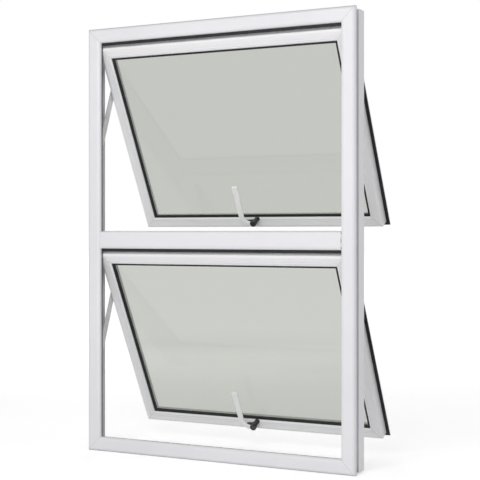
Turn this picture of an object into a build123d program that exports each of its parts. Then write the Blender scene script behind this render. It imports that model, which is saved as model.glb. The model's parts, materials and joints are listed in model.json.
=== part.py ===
from build123d import *
import math
import os

# Awning window with two top-hung lights, one above the other, seen in millimetres.
# X runs along the width, +Y points out of the room, +Z is up.
# The origin is the middle of the face that the sill rests on.

# Overall size of the frame, measured over its trim
WIDTH = 820.0
HEIGHT = 1200.0
DEPTH = 72.0

# Frame extrusion, measured from the outer edge inwards and from the room face outwards
TRIM_WIDTH = 40.0
TRIM_WALL = 2.0
OUTER_BEVEL_WIDTH = 7.0
OUTER_BEVEL_DEPTH = 4.5
OUTER_RIM_DEPTH = 12.0
INNER_BEVEL_WIDTH = 9.0
INNER_BEVEL_DEPTH = 6.5
INNER_LIP_DEPTH = 11.0
BODY_INSET = 4.0
WEB_OFFSET = 18.0
WEB_WALL = 2.0
CHAMBER_FRONT = 35.0
SEAL_STEP = 44.0
LIP_HOOK = 4.0
GASKET_LEG = 1.5
GASKET_LEG_DEPTH = 9.0

# Middle rail
RAIL_FACE = 49.0
STEM_WIDTH = 10.0
STEM_WALL = 1.8

# Frame gasket
GASKET_SLOT = 5.0
GASKET_FIT = 0.2
GASKET_PROUD = 1.2

# Sash extrusion, measured from the outer side inwards and from its room face outwards
SASH_TUBE = 21.5
SASH_FACE = 31.0
SASH_DEPTH = 36.5
SASH_WALL = 1.8
SASH_FLAT = 28.0
SASH_LIP_DROP = 2.5
SASH_LIP_DEPTH = 5.0
SASH_BEVEL_WIDTH = 6.0
SASH_BEVEL_DEPTH = 3.0
SASH_LINE_AT = 18.0
SASH_LINE_WIDTH = 1.0
SASH_LINE_DEPTH = 0.6
FLANGE_WIDTH = 9.5
FLANGE_WALL = 2.5
FLANGE_RELIEF = 12.0
SEAL_THICKNESS = 2.2
SEAL_MARGIN = 0.3

# Running gaps between a closed sash and the frame
STAY_GAP = 10.0
EDGE_GAP = 1.5
FACE_GAP = 0.6

# Glazing
GLASS_THICKNESS = 6.0
GLASS_FROM_FACE = 9.0
GLASS_EDGE_GAP = 3.5
GASKET_BAND = 7.0
INNER_GASKET_HEEL = 3.0
OUTER_GASKET = 4.0
BEAD_WALL = 1.6
BEAD_FIT = 0.2

# Friction stays
STAY_ARM = 198.0
STAY_REACH = 128.0
STAY_OFFSET = 10.0
SHOE_BELOW_TOP = 8.0
PIVOT_DEPTH = 16.0
STAY_MATCH_ANGLE = 26.5
ARM_WIDTH = 20.0
ARM_THICKNESS = 2.2
BAR_WIDTH = 16.0
BAR_THICKNESS = 2.4
BAR_TAIL = 50.0
BAR_NOSE = 7.0
BAR_TAIL_SCREW = 14.0
STAY_PIN = 6.0
PIN_CLEARANCE = 0.3
PIVOT_BOSS = 11.0
RIVET_HEAD = 1.0
RIVET_WIDTH = 9.0
SLIDE_CLEARANCE = 0.3
TRACK_WALL = 1.5
TRACK_LIP = 1.2
TRACK_HOOK = 2.6
TRACK_MARGIN = 0.9
TRACK_FOOT = 34.0
TRACK_CORNER = 3.5
TRACK_HEAD_GAP = 2.0
TRACK_SCREW_MARGIN = 12.0
SHOE_LENGTH = 14.0
SHOE_WIDTH = 14.0
SHOE_THICKNESS = 1.8
SHOE_CORNER = 2.0
SHOE_CLEARANCE = 0.33
ARM_GAP = 0.3
CHANNEL_SPARE = 11.0
SCREW_HEAD = 6.4
SCREW_HEAD_HEIGHT = 1.4
SCREW_SHANK = 3.4
SCREW_LENGTH = 6.0
SCREW_FIT = 0.1
SCREW_SIDES = 8
RAIL_SCREW_HEAD = 8.0
RAIL_SCREW_HEAD_HEIGHT = 2.4
RAIL_SCREW_SHANK = 4.2
RAIL_SCREW_GRIP = 26.0
RAIL_SCREW_INSET = 6.3

# Corner keys
KEY_FIT = 0.1
FRAME_KEY_ARM = 46.0
SASH_KEY_ARM = 44.0
SASH_KEY_DEPTH = 14.0
SASH_KEY_BACK = 16.0

# Openings of the sashes
OPEN_ANGLE_REST = 27.5
OPEN_ANGLE_MAX = 40.0

# Handle, measured along the sash and away from its face
HANDLE_FROM_EDGE = 27.8
HANDLE_BARREL = 15.0
HANDLE_BASE_END = 13.5
HANDLE_SPINDLE = 7.0
HANDLE_GAP = 0.3
COLLAR_END = 28.0
TONGUE_LENGTH = 27.0
TONGUE_WIDTH = 8.0
TONGUE_THICKNESS = 5.0
TONGUE_RISE = 2.0
LEVER_THICKNESS = 6.0
LEVER_CRANK = 32.0
LEVER_TIP = 120.0
LEVER_TIP_WIDTH = 18.0
LEVER_NECK_WIDTH = 13.0
LEVER_BEND = 26.0
LEVER_TAPER = 1.0
LEVER_TIP_ROUND = 5.0
LEVER_SET_BACK = 1.6
LEVER_EDGE = 1.0
LEVER_KEY = 9.0
LEVER_KEY_DEPTH = 4.0
HANDLE_SCREW_SPACING = 8.4
HANDLE_SCREW_FROM_EDGE = 24.6
HANDLE_SCREW_HEAD = 5.0
HANDLE_SCREW_HEAD_HEIGHT = 1.2
HANDLE_SCREW_SHANK = 3.0
HANDLE_SCREW_BITE = 6.0

# Fixing holes through the jambs
FIXING_HOLE = 5.5
FIXING_END_GAP = 90.0
FIXING_DEPTH = 15.0

# Worked-out places
WEB_INNER = WEB_OFFSET + WEB_WALL
RAIL_HALF = RAIL_FACE / 2
STEM_HALF = STEM_WIDTH / 2
RAIL_CENTRE = HEIGHT / 2
SASH_FRONT = INNER_LIP_DEPTH + GASKET_PROUD + FACE_GAP
LIGHT_PITCH = (HEIGHT - WEB_INNER * 2 + STEM_WIDTH) / 2
SASH_WIDTH = WIDTH - 2 * (WEB_INNER + STAY_GAP)
SASH_HEIGHT = (HEIGHT - 2 * WEB_INNER - STEM_WIDTH) / 2 - 2 * EDGE_GAP
SASH_TOP_SHUT = HEIGHT - WEB_INNER - EDGE_GAP
PIVOT_LINE = SASH_FRONT + PIVOT_DEPTH
SHOE_SHUT = SASH_TOP_SHUT - SHOE_BELOW_TOP
ARM_START = math.degrees(math.asin(STAY_OFFSET / STAY_ARM))
MATCH_OUT = STAY_OFFSET + STAY_REACH * math.sin(math.radians(STAY_MATCH_ANGLE))
STAY_RATIO = (math.degrees(math.asin(MATCH_OUT / STAY_ARM)) - ARM_START) / STAY_MATCH_ANGLE
ARM_FOOT_Y = PIVOT_LINE - STAY_OFFSET
ARM_FOOT_Z = SHOE_SHUT - STAY_REACH - STAY_ARM * math.cos(math.radians(ARM_START))
SEAT_CENTRE = (CHAMBER_FRONT + DEPTH) / 2
BOX_SIDE = WIDTH / 2 - WEB_INNER - STAY_GAP
FAR = 400.0


def shoe_stray(opening):
    """How far the shoe's pin strays outwards from the pivot line when the arm follows by the fixed ratio."""
    lean = math.radians(ARM_START + STAY_RATIO * opening)
    return STAY_ARM * math.sin(lean) - STAY_OFFSET - STAY_REACH * math.sin(math.radians(opening))


STRAYS = [shoe_stray(degree) for degree in range(round(OPEN_ANGLE_MAX) + 1)]
STAY_DRIFT = (max(STRAYS) + min(STRAYS)) / 2
SHOE_SIDE_GAP = (max(STRAYS) - min(STRAYS)) / 2 + SHOE_CLEARANCE
CHANNEL_CENTRE = PIVOT_LINE + STAY_DRIFT
CHANNEL_HALF = SHOE_WIDTH / 2 + SHOE_SIDE_GAP
TRACK_BACK = CHANNEL_CENTRE + CHANNEL_HALF + TRACK_LIP
TRACK_FRONT = CHANNEL_CENTRE - CHANNEL_HALF - TRACK_LIP - TRACK_MARGIN
TRACK_PAD_FRONT = ARM_FOOT_Y - PIVOT_BOSS / 2 - TRACK_MARGIN


def stay_state(opening):
    """Arm lean and the places of both upper pivots when a sash has swung out by an angle."""
    lean = math.radians(ARM_START + STAY_RATIO * opening)
    swing = math.radians(opening)
    knee = (ARM_FOOT_Y + STAY_ARM * math.sin(lean), ARM_FOOT_Z + STAY_ARM * math.cos(lean))
    shoe = (knee[0] - STAY_REACH * math.sin(swing), knee[1] + STAY_REACH * math.cos(swing))
    return math.degrees(lean), knee, shoe


REST_LEAN, REST_KNEE, REST_SHOE = stay_state(OPEN_ANGLE_REST)
LOWEST_SHOE = stay_state(OPEN_ANGLE_MAX)[2][1]


def block(x0, x1, y0, y1, z0, z1):
    """A box between two opposite corners."""
    return Pos((x0 + x1) / 2, (y0 + y1) / 2, (z0 + z1) / 2) * Box(x1 - x0, y1 - y0, z1 - z0)


def rod(x0, x1, y, z, diameter):
    """A round bar along X between two places."""
    bar = Pos((x0 + x1) / 2, y, z) * Rot(0, 90, 0) * Cylinder(diameter / 2, abs(x1 - x0))
    return bar


def peg(x0, x1, y, z, diameter):
    """A short eight-sided bar along X, the plain form of a screw or a rivet head."""
    face = Plane((min(x0, x1), y, z), x_dir=(0, 1, 0), z_dir=(1, 0, 0)) * RegularPolygon(diameter / 2, SCREW_SIDES)
    return extrude(face, amount=abs(x1 - x0))


def peg_along_y(x, y0, y1, z, diameter):
    """A short eight-sided bar along Y."""
    face = Plane((x, y0, z), x_dir=(1, 0, 0), z_dir=(0, 1, 0)) * RegularPolygon(diameter / 2, SCREW_SIDES)
    return extrude(face, amount=y1 - y0)


def bar_along_x(outline, length, holes=()):
    """Extrude a section along X; its points are (inwards, outwards) and go to (Z, Y)."""
    face = Polygon(*[(out, inward) for inward, out in outline], align=None)
    for hole in holes:
        face -= Polygon(*[(out, inward) for inward, out in hole], align=None)
    return extrude(Plane.YZ * face, amount=length / 2, both=True)


def mitred(solid, length, below, above):
    """Cut a bar to 45 degree ends whose long side lies at height -below."""
    half = length / 2
    wedge = Polygon(
        (-half - below, -below), (half + below, -below), (half - above, above), (-half + above, above), align=None
    )
    return solid & extrude(Plane.XZ * wedge, amount=FAR, both=True)


def around(outline, width, height, holes=(), below=0.0, above=60.0, sides="btlr"):
    """The sides of a mitred surround whose lower outer edge is at Z 0, as a dict by letter."""
    pieces = {}
    if "b" in sides:
        pieces["b"] = mitred(bar_along_x(outline, width + 2 * below, holes), width, below, above)
    if "t" in sides:
        bar = mitred(bar_along_x(outline, width + 2 * below, holes), width, below, above)
        pieces["t"] = Pos(0, 0, height) * Rot(0, 180, 0) * bar
    upright = mitred(bar_along_x(outline, height + 2 * below, holes), height, below, above)
    if "l" in sides:
        pieces["l"] = Pos(-width / 2, 0, height / 2) * Rot(0, 90, 0) * upright
    if "r" in sides:
        pieces["r"] = Pos(width / 2, 0, height / 2) * Rot(0, -90, 0) * upright
    return pieces


def joined(pieces):
    """Fuse the sides of a surround into one ring."""
    ring = None
    for piece in pieces.values():
        ring = piece if ring is None else ring + piece
    return ring


def frame_section():
    """Trim, web, rear chamber and outer lip of the frame extrusion."""
    bevel_start = TRIM_WIDTH - INNER_BEVEL_WIDTH
    slot_edge = TRIM_WIDTH - TRIM_WALL
    leg_outer = slot_edge - GASKET_SLOT
    leg_inner = leg_outer - GASKET_LEG
    back = SEAL_STEP
    outline = [
        (0, OUTER_RIM_DEPTH),
        (0, OUTER_BEVEL_DEPTH),
        (OUTER_BEVEL_WIDTH, 0),
        (bevel_start, 0),
        (bevel_start + INNER_BEVEL_WIDTH * 0.55, INNER_BEVEL_DEPTH * 0.22),
        (bevel_start + INNER_BEVEL_WIDTH * 0.88, INNER_BEVEL_DEPTH * 0.6),
        (TRIM_WIDTH, INNER_BEVEL_DEPTH),
        (TRIM_WIDTH, INNER_LIP_DEPTH),
        (slot_edge, INNER_LIP_DEPTH),
        (slot_edge, INNER_BEVEL_DEPTH + TRIM_WALL * 0.5),
        (leg_outer, TRIM_WALL + TRIM_WALL * 0.5),
        (leg_outer, GASKET_LEG_DEPTH),
        (leg_inner, GASKET_LEG_DEPTH),
        (leg_inner, TRIM_WALL),
        (WEB_INNER, TRIM_WALL),
        (WEB_INNER, back),
        (BODY_INSET + TRIM_WALL, back),
        (BODY_INSET + TRIM_WALL, DEPTH - TRIM_WALL),
        (BODY_INSET + TRIM_WALL + LIP_HOOK, DEPTH - TRIM_WALL),
        (BODY_INSET + TRIM_WALL + LIP_HOOK, DEPTH),
        (BODY_INSET, DEPTH),
        (BODY_INSET, CHAMBER_FRONT),
        (WEB_OFFSET, CHAMBER_FRONT),
        (WEB_OFFSET, TRIM_WALL),
        (OUTER_BEVEL_WIDTH + 0.6, TRIM_WALL),
        (TRIM_WALL, OUTER_BEVEL_DEPTH + 1.0),
        (TRIM_WALL, OUTER_RIM_DEPTH),
    ]
    chamber = [
        (BODY_INSET + TRIM_WALL, CHAMBER_FRONT + TRIM_WALL),
        (WEB_OFFSET, CHAMBER_FRONT + TRIM_WALL),
        (WEB_OFFSET, back - TRIM_WALL),
        (BODY_INSET + TRIM_WALL, back - TRIM_WALL),
    ]
    return outline, [chamber]


def middle_rail():
    """T-shaped rail between the lights: bevelled face strip and hollow stem."""
    bevel_start = RAIL_HALF - INNER_BEVEL_WIDTH
    slot_edge = RAIL_HALF - TRIM_WALL
    leg_outer = slot_edge - GASKET_SLOT
    leg_inner = leg_outer - GASKET_LEG
    right = [
        (bevel_start, 0),
        (bevel_start + INNER_BEVEL_WIDTH * 0.55, INNER_BEVEL_DEPTH * 0.22),
        (bevel_start + INNER_BEVEL_WIDTH * 0.88, INNER_BEVEL_DEPTH * 0.6),
        (RAIL_HALF, INNER_BEVEL_DEPTH),
        (RAIL_HALF, INNER_LIP_DEPTH),
        (slot_edge, INNER_LIP_DEPTH),
        (slot_edge, INNER_BEVEL_DEPTH + TRIM_WALL * 0.5),
        (leg_outer, TRIM_WALL + TRIM_WALL * 0.5),
        (leg_outer, GASKET_LEG_DEPTH),
        (leg_inner, GASKET_LEG_DEPTH),
        (leg_inner, TRIM_WALL),
    ]
    left = [(-across, out) for across, out in reversed(right)]
    strip = bar_along_x(right + left, WIDTH - 2 * TRIM_WIDTH)
    hollow_half = STEM_HALF - STEM_WALL
    stem_outline = [
        (-STEM_HALF, TRIM_WALL),
        (STEM_HALF, TRIM_WALL),
        (STEM_HALF, SEAL_STEP),
        (-STEM_HALF, SEAL_STEP),
    ]
    hollow = [
        (-hollow_half, TRIM_WALL + STEM_WALL),
        (hollow_half, TRIM_WALL + STEM_WALL),
        (hollow_half, SEAL_STEP - STEM_WALL),
        (-hollow_half, SEAL_STEP - STEM_WALL),
    ]
    stem = bar_along_x(stem_outline, WIDTH - 2 * WEB_INNER, [hollow])
    notch_depth = INNER_LIP_DEPTH + GASKET_PROUD + GASKET_FIT
    for side in (-1, 1):
        ends = sorted((side_x(side, WEB_INNER - 1), side_x(side, TRIM_WIDTH)))
        stem = stem - block(*ends, 0, notch_depth, -STEM_HALF - 1, STEM_HALF + 1)
    return Pos(0, 0, RAIL_CENTRE) * (strip + stem)


def frame_gasket(bottom, height):
    """Black gasket pushed into the slot behind the trim, round one light."""
    slot_edge = TRIM_WIDTH - TRIM_WALL
    heel = slot_edge - GASKET_SLOT
    outline = [
        (heel + GASKET_FIT, TRIM_WALL + TRIM_WALL),
        (slot_edge - GASKET_FIT, INNER_BEVEL_DEPTH + TRIM_WALL),
        (slot_edge - GASKET_FIT, INNER_LIP_DEPTH + GASKET_FIT),
        (TRIM_WIDTH - 0.8, INNER_LIP_DEPTH + GASKET_FIT),
        (TRIM_WIDTH - 0.8, INNER_LIP_DEPTH + GASKET_PROUD),
        (heel + GASKET_FIT, INNER_LIP_DEPTH + GASKET_PROUD),
    ]
    ring = joined(around(outline, WIDTH, height + 2 * TRIM_WIDTH))
    rail_low, rail_high = (-TRIM_WALL, TRIM_WIDTH - WEB_INNER)
    for side in (-1, 1):
        lip = sorted((side_x(side, slot_edge - GASKET_FIT), side_x(side, TRIM_WIDTH + GASKET_FIT)))
        slot = sorted((side_x(side, heel - 1), side_x(side, TRIM_WIDTH)))
        for foot in (TRIM_WIDTH - rail_high, TRIM_WIDTH + height + rail_low):
            top = foot + rail_high - rail_low
            ring = ring - block(*lip, 0, INNER_LIP_DEPTH + GASKET_FIT, foot, top)
            ring = ring - block(*slot, 0, INNER_BEVEL_DEPTH + TRIM_WALL + GASKET_FIT, foot, top)
    return Pos(0, 0, bottom - TRIM_WIDTH) * ring


def corner_key(section_u, section_v, arm, turn_x, turn_z):
    """L-shaped key that joins two hollow members at a corner placed at the origin."""
    u0, u1 = section_u
    v0, v1 = section_v
    foot = block(u0, u0 + arm, v0, v1, u0, u1)
    leg = block(u0, u1, v0, v1, u0, u0 + arm)
    key = foot + leg
    if turn_x:
        key = mirror(key, Plane.YZ)
    if turn_z:
        key = mirror(key, Plane.XY)
    return key


def four_keys(section_u, section_v, arm, width, height):
    """One key in each corner of a surround whose lower edge is at Z 0."""
    keys = []
    for right in (False, True):
        for top in (False, True):
            key = corner_key(section_u, section_v, arm, right, top)
            keys.append(Pos(width / 2 if right else -width / 2, 0, height if top else 0) * key)
    return Compound([key.solid() for key in keys])


def side_x(side, inset):
    """X of a plane that lies inset from the frame's left (-1) or right (+1) outer edge."""
    return side * (WIDTH / 2 - inset)


def track_screw_heights():
    """Heights of a track's screws, measured in the upper light."""
    channel_foot = LOWEST_SHOE - CHANNEL_SPARE
    return [
        ARM_FOOT_Z - TRACK_FOOT / 2,
        (ARM_FOOT_Z + channel_foot) / 2,
        channel_foot - TRACK_SCREW_MARGIN,
    ]


def track(side):
    """Stay track of the upper light: base plate, and a lipped channel for the shoe."""
    base_in = WEB_INNER
    base_out = WEB_INNER + TRACK_WALL
    top = SASH_TOP_SHUT + EDGE_GAP - TRACK_HEAD_GAP
    foot = ARM_FOOT_Z - TRACK_FOOT
    faces = sorted((side_x(side, base_in), side_x(side, base_out)))
    pad = block(*faces, TRACK_PAD_FRONT, TRACK_BACK, foot, ARM_FOOT_Z + TRACK_FOOT / 2)
    pad = chamfer(pad.edges().filter_by(Axis.X), TRACK_CORNER)
    plate = pad + block(*faces, TRACK_FRONT, TRACK_BACK, ARM_FOOT_Z, top)
    channel_foot = LOWEST_SHOE - CHANNEL_SPARE
    wall_out = base_out + SLIDE_CLEARANCE + SHOE_THICKNESS + SLIDE_CLEARANCE
    lip_out = wall_out + TRACK_LIP
    for way in (-1, 1):
        near = CHANNEL_CENTRE + way * CHANNEL_HALF
        far = near + way * TRACK_LIP
        hook = near - way * TRACK_HOOK
        wall = block(
            *sorted((side_x(side, base_out), side_x(side, lip_out))), *sorted((near, far)), channel_foot, top
        )
        lip = block(
            *sorted((side_x(side, wall_out), side_x(side, lip_out))), *sorted((hook, near)), channel_foot, top
        )
        plate = plate + wall + lip
    hole = STAY_PIN + 2 * PIN_CLEARANCE
    plate = plate - rod(side_x(side, base_in - 1), side_x(side, base_out + 1), ARM_FOOT_Y, ARM_FOOT_Z, hole)
    shank = SCREW_SHANK + 2 * SCREW_FIT
    for height in track_screw_heights():
        plate = plate - peg(side_x(side, base_in - 1), side_x(side, base_out + 1), PIVOT_LINE, height, shank)
    return plate


def small_screw(side, seat, y, z, length):
    """Pan-head screw whose head bears on a plane inset by seat, pointing to the outside."""
    head = peg(side_x(side, seat), side_x(side, seat + SCREW_HEAD_HEIGHT), y, z, SCREW_HEAD)
    shank = peg(side_x(side, seat - length), side_x(side, seat), y, z, SCREW_SHANK)
    return (head + shank).solid()


def frame_screws():
    """Screws of the four tracks and of the middle rail's ends."""
    screws = []
    for side in (-1, 1):
        for drop in (0.0, LIGHT_PITCH):
            for height in track_screw_heights():
                screws.append(small_screw(side, WEB_INNER + TRACK_WALL, PIVOT_LINE, height - drop, SCREW_LENGTH))
        for depth in rail_screw_depths():
            head = peg(
                side_x(side, WEB_OFFSET - RAIL_SCREW_HEAD_HEIGHT), side_x(side, WEB_OFFSET),
                depth, RAIL_CENTRE, RAIL_SCREW_HEAD,
            )
            shank = peg(
                side_x(side, WEB_OFFSET), side_x(side, WEB_OFFSET + RAIL_SCREW_GRIP),
                depth, RAIL_CENTRE, RAIL_SCREW_SHANK,
            )
            screws.append((head + shank).solid())
    return Compound(screws)


def rail_screw_depths():
    """Depths of the two screws in each end of the middle rail."""
    return [INNER_LIP_DEPTH + RAIL_SCREW_INSET, CHAMBER_FRONT - RAIL_SCREW_INSET]


def drilled_jamb(jamb, side):
    """Jamb with holes for the wall fixings, the tracks and the middle rail."""
    inner = side_x(side, WEB_OFFSET - 1)
    outer = side_x(side, WEB_INNER + 1)
    for height in (FIXING_END_GAP, HEIGHT - FIXING_END_GAP):
        jamb = jamb - rod(inner, outer, FIXING_DEPTH, height, FIXING_HOLE)
    for depth in rail_screw_depths():
        jamb = jamb - peg(inner, outer, depth, RAIL_CENTRE, RAIL_SCREW_SHANK + 2 * SCREW_FIT)
    for drop in (0.0, LIGHT_PITCH):
        for height in track_screw_heights():
            jamb = jamb - peg(inner, outer, PIVOT_LINE, height - drop, SCREW_SHANK + 2 * SCREW_FIT)
    return jamb


def sash_section():
    """Tube, room-side glazing leg and outer flange of the sash extrusion."""
    outline = [
        (0, SASH_BEVEL_DEPTH),
        (SASH_BEVEL_WIDTH, 0),
        (SASH_LINE_AT, 0),
        (SASH_LINE_AT, SASH_LINE_DEPTH),
        (SASH_LINE_AT + SASH_LINE_WIDTH, SASH_LINE_DEPTH),
        (SASH_LINE_AT + SASH_LINE_WIDTH, 0),
        (SASH_FLAT, 0),
        (SASH_FACE, SASH_LIP_DROP),
        (SASH_FACE, SASH_LIP_DEPTH),
        (SASH_FLAT, SASH_WALL + 0.6),
        (SASH_TUBE, SASH_WALL + 0.6),
        (SASH_TUBE, SASH_DEPTH),
        (-FLANGE_WIDTH, SASH_DEPTH),
        (-FLANGE_WIDTH, SASH_DEPTH - FLANGE_WALL),
        (0, SASH_DEPTH - FLANGE_WALL),
    ]
    tube = [
        (SASH_WALL, SASH_WALL + SASH_BEVEL_DEPTH),
        (SASH_WALL + SASH_BEVEL_WIDTH, SASH_WALL),
        (SASH_TUBE - SASH_WALL, SASH_WALL),
        (SASH_TUBE - SASH_WALL, SASH_DEPTH - SASH_WALL),
        (SASH_WALL, SASH_DEPTH - SASH_WALL),
    ]
    return outline, [tube]


def in_sash(shape):
    """Shift a surround, built from Z 0 up with its room face at Y 0, to the shoe pivot's axes."""
    return Pos(0, -PIVOT_DEPTH, SHOE_BELOW_TOP - SASH_HEIGHT) * shape


def sash_members():
    """Rails and stiles of one sash, with the outer flange cut away along the top."""
    outline, holes = sash_section()
    sides = around(outline, SASH_WIDTH, SASH_HEIGHT, holes, below=FLANGE_WIDTH, above=50.0)
    back = (SASH_DEPTH - FLANGE_WALL - 1.0, SASH_DEPTH + 1.0)
    half = SASH_WIDTH / 2
    reach = half + FLANGE_WIDTH + 5.0
    over_top = block(-reach, reach, *back, SASH_HEIGHT, SASH_HEIGHT + FLANGE_WIDTH + 5.0)
    for way in (-1, 1):
        near, far = sorted((way * half, way * reach))
        over_top = over_top + block(near, far, *back, SASH_HEIGHT - FLANGE_RELIEF, SASH_HEIGHT + 1.0)
    sides = {letter: piece - over_top for letter, piece in sides.items()}
    return sides


def weather_seal():
    """Black seal on the flange's room side, down both sides and along the bottom."""
    front = SASH_DEPTH - FLANGE_WALL - SEAL_THICKNESS
    outline = [
        (-FLANGE_WIDTH + SEAL_MARGIN, front),
        (-SEAL_MARGIN, front),
        (-SEAL_MARGIN, front + SEAL_THICKNESS),
        (-FLANGE_WIDTH + SEAL_MARGIN, front + SEAL_THICKNESS),
    ]
    ring = joined(around(outline, SASH_WIDTH, SASH_HEIGHT, below=FLANGE_WIDTH, above=50.0, sides="blr"))
    reach = SASH_WIDTH / 2 + FLANGE_WIDTH + 5.0
    return ring - block(-reach, reach, front - 1, SASH_DEPTH, SASH_HEIGHT - FLANGE_RELIEF, SASH_HEIGHT + 20.0)


def glazing():
    """Glass, gaskets and beads of one sash, by node name."""
    edge = SASH_TUBE + GLASS_EDGE_GAP
    glass = block(
        -SASH_WIDTH / 2 + edge, SASH_WIDTH / 2 - edge,
        GLASS_FROM_FACE, GLASS_FROM_FACE + GLASS_THICKNESS,
        edge, SASH_HEIGHT - edge,
    )
    inner = [
        (edge + INNER_GASKET_HEEL, SASH_LIP_DEPTH + 0.2),
        (SASH_FACE + GASKET_BAND, SASH_LIP_DEPTH + 0.8),
        (SASH_FACE + GASKET_BAND, GLASS_FROM_FACE),
        (edge + INNER_GASKET_HEEL, GLASS_FROM_FACE),
    ]
    glass_back = GLASS_FROM_FACE + GLASS_THICKNESS
    bead_front = glass_back + OUTER_GASKET
    outer = [
        (edge + INNER_GASKET_HEEL, glass_back),
        (SASH_FACE + GASKET_BAND * 0.5, glass_back),
        (SASH_FACE + GASKET_BAND * 0.5, glass_back + OUTER_GASKET * 0.6),
        (SASH_FACE, bead_front),
        (edge + INNER_GASKET_HEEL, bead_front),
    ]
    bead_in = SASH_TUBE + BEAD_FIT
    bead_back = SASH_DEPTH - BEAD_FIT
    bead = [
        (bead_in, bead_front),
        (SASH_FACE, bead_front),
        (SASH_FACE, bead_back - 5.0),
        (bead_in + 4.5, bead_back),
        (bead_in, bead_back),
    ]
    hollow = [
        (bead_in + BEAD_WALL, bead_front + BEAD_WALL),
        (SASH_FACE - BEAD_WALL, bead_front + BEAD_WALL),
        (SASH_FACE - BEAD_WALL, bead_back - 5.0 - BEAD_WALL * 0.4),
        (bead_in + 4.5 - BEAD_WALL * 0.6, bead_back - BEAD_WALL),
        (bead_in + BEAD_WALL, bead_back - BEAD_WALL),
    ]
    beads = around(bead, SASH_WIDTH, SASH_HEIGHT, [hollow])
    return {
        "glass": glass,
        "inner_gasket": joined(around(inner, SASH_WIDTH, SASH_HEIGHT)),
        "outer_gasket": joined(around(outer, SASH_WIDTH, SASH_HEIGHT)),
        "bottom_bead": beads["b"],
        "top_bead": beads["t"],
        "left_bead": beads["l"],
        "right_bead": beads["r"],
    }


def plate_along_z(x0, x1, width, low, high):
    """Flat bar with round ends, its end centres at the two heights, lying in a YZ plane."""
    shape = Pos(0, 0, (low + high) / 2) * Rot(0, 90, 0) * extrude(
        Rot(0, 0, 0) * SlotCenterToCenter(high - low, width), amount=abs(x1 - x0) / 2, both=True
    )
    return Pos((x0 + x1) / 2, 0, 0) * shape


def bar_screw_heights():
    """Heights of the three screws of a sash bar, from the shoe pivot."""
    return [-STAY_REACH / 3, -STAY_REACH * 2 / 3, BAR_TAIL_SCREW - STAY_REACH - BAR_TAIL]


def sash_bar(side):
    """Stay bar screwed to the side of a stile, in the axes of the shoe pivot."""
    back = side * BOX_SIDE
    face = side * (BOX_SIDE + BAR_THICKNESS)
    bar = plate_along_z(back, face, BAR_WIDTH, -STAY_REACH - BAR_TAIL + BAR_WIDTH / 2, BAR_NOSE - BAR_WIDTH / 2)
    for height in (0.0, -STAY_REACH):
        bar = bar - rod(back - side, face + side, 0, height, STAY_PIN + 2 * PIN_CLEARANCE)
    for height in bar_screw_heights():
        bar = bar - peg(back - side, face + side, 0, height, SCREW_SHANK + 2 * SCREW_FIT)
        seat = face - side * SCREW_HEAD_HEIGHT
        bar = bar - peg(seat, face + side, 0, height, SCREW_HEAD + 2 * SCREW_FIT)
    return bar


def stay_arm(side):
    """Stay arm with its two riveted pins, its lower pivot at the origin and pointing up."""
    inner = WEB_INNER + STAY_GAP - BAR_THICKNESS - ARM_GAP - ARM_THICKNESS
    outer = inner + ARM_THICKNESS
    arm = plate_along_z(side_x(side, inner), side_x(side, outer), ARM_WIDTH, 0.0, STAY_ARM)
    boss_foot = WEB_INNER + TRACK_WALL + SLIDE_CLEARANCE
    arm = arm + peg(side_x(side, boss_foot), side_x(side, inner), 0, 0, PIVOT_BOSS)
    arm = arm + rod(side_x(side, WEB_INNER + SLIDE_CLEARANCE), side_x(side, boss_foot), 0, 0, STAY_PIN)
    arm = arm + peg(side_x(side, outer), side_x(side, outer + RIVET_HEAD), 0, 0, RIVET_WIDTH)
    knee_end = WEB_INNER + STAY_GAP - SLIDE_CLEARANCE
    arm = arm + rod(side_x(side, outer), side_x(side, knee_end), 0, STAY_ARM, STAY_PIN)
    arm = arm + peg(side_x(side, inner - RIVET_HEAD), side_x(side, inner), 0, STAY_ARM, RIVET_WIDTH)
    return arm


def shoe(side):
    """Sliding shoe with its pin, the pin's axis at the origin."""
    inner = WEB_INNER + TRACK_WALL + SLIDE_CLEARANCE
    outer = inner + SHOE_THICKNESS
    body = block(
        *sorted((side_x(side, inner), side_x(side, outer))),
        -SHOE_WIDTH / 2, SHOE_WIDTH / 2, -SHOE_LENGTH / 2, SHOE_LENGTH / 2,
    )
    body = chamfer(body.edges().filter_by(Axis.X), SHOE_CORNER)
    neck_end = WEB_INNER + STAY_GAP - BAR_THICKNESS - SLIDE_CLEARANCE
    pin_end = WEB_INNER + STAY_GAP - SLIDE_CLEARANCE
    neck = peg(side_x(side, outer), side_x(side, neck_end), 0, 0, RIVET_WIDTH)
    return body + neck + rod(side_x(side, neck_end), side_x(side, pin_end), 0, 0, STAY_PIN)


def sash_screws():
    """Screws of both sash bars and of the handle, in the axes of the shoe pivot."""
    screws = []
    for side in (-1, 1):
        seat = BOX_SIDE + BAR_THICKNESS - SCREW_HEAD_HEIGHT
        for height in bar_screw_heights():
            head = peg(side * seat, side * (seat + SCREW_HEAD_HEIGHT), 0, height, SCREW_HEAD)
            shank = peg(side * (BOX_SIDE - 4.0), side * seat, 0, height, SCREW_SHANK)
            screws.append((head + shank).solid())
    for x in handle_screw_places():
        z = handle_z() - HANDLE_FROM_EDGE + HANDLE_SCREW_FROM_EDGE
        back = SASH_WALL + 0.6 - PIVOT_DEPTH
        tip = -PIVOT_DEPTH - HANDLE_SCREW_BITE
        head = peg_along_y(x, back, back + HANDLE_SCREW_HEAD_HEIGHT, z, HANDLE_SCREW_HEAD)
        shank = peg_along_y(x, tip, back, z, HANDLE_SCREW_SHANK)
        screws.append((head + shank).solid())
    return Compound(screws)


def handle_screw_places():
    """X places of the handle's two screws."""
    return [-HANDLE_SCREW_SPACING / 2, HANDLE_SCREW_SPACING / 2]


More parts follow.
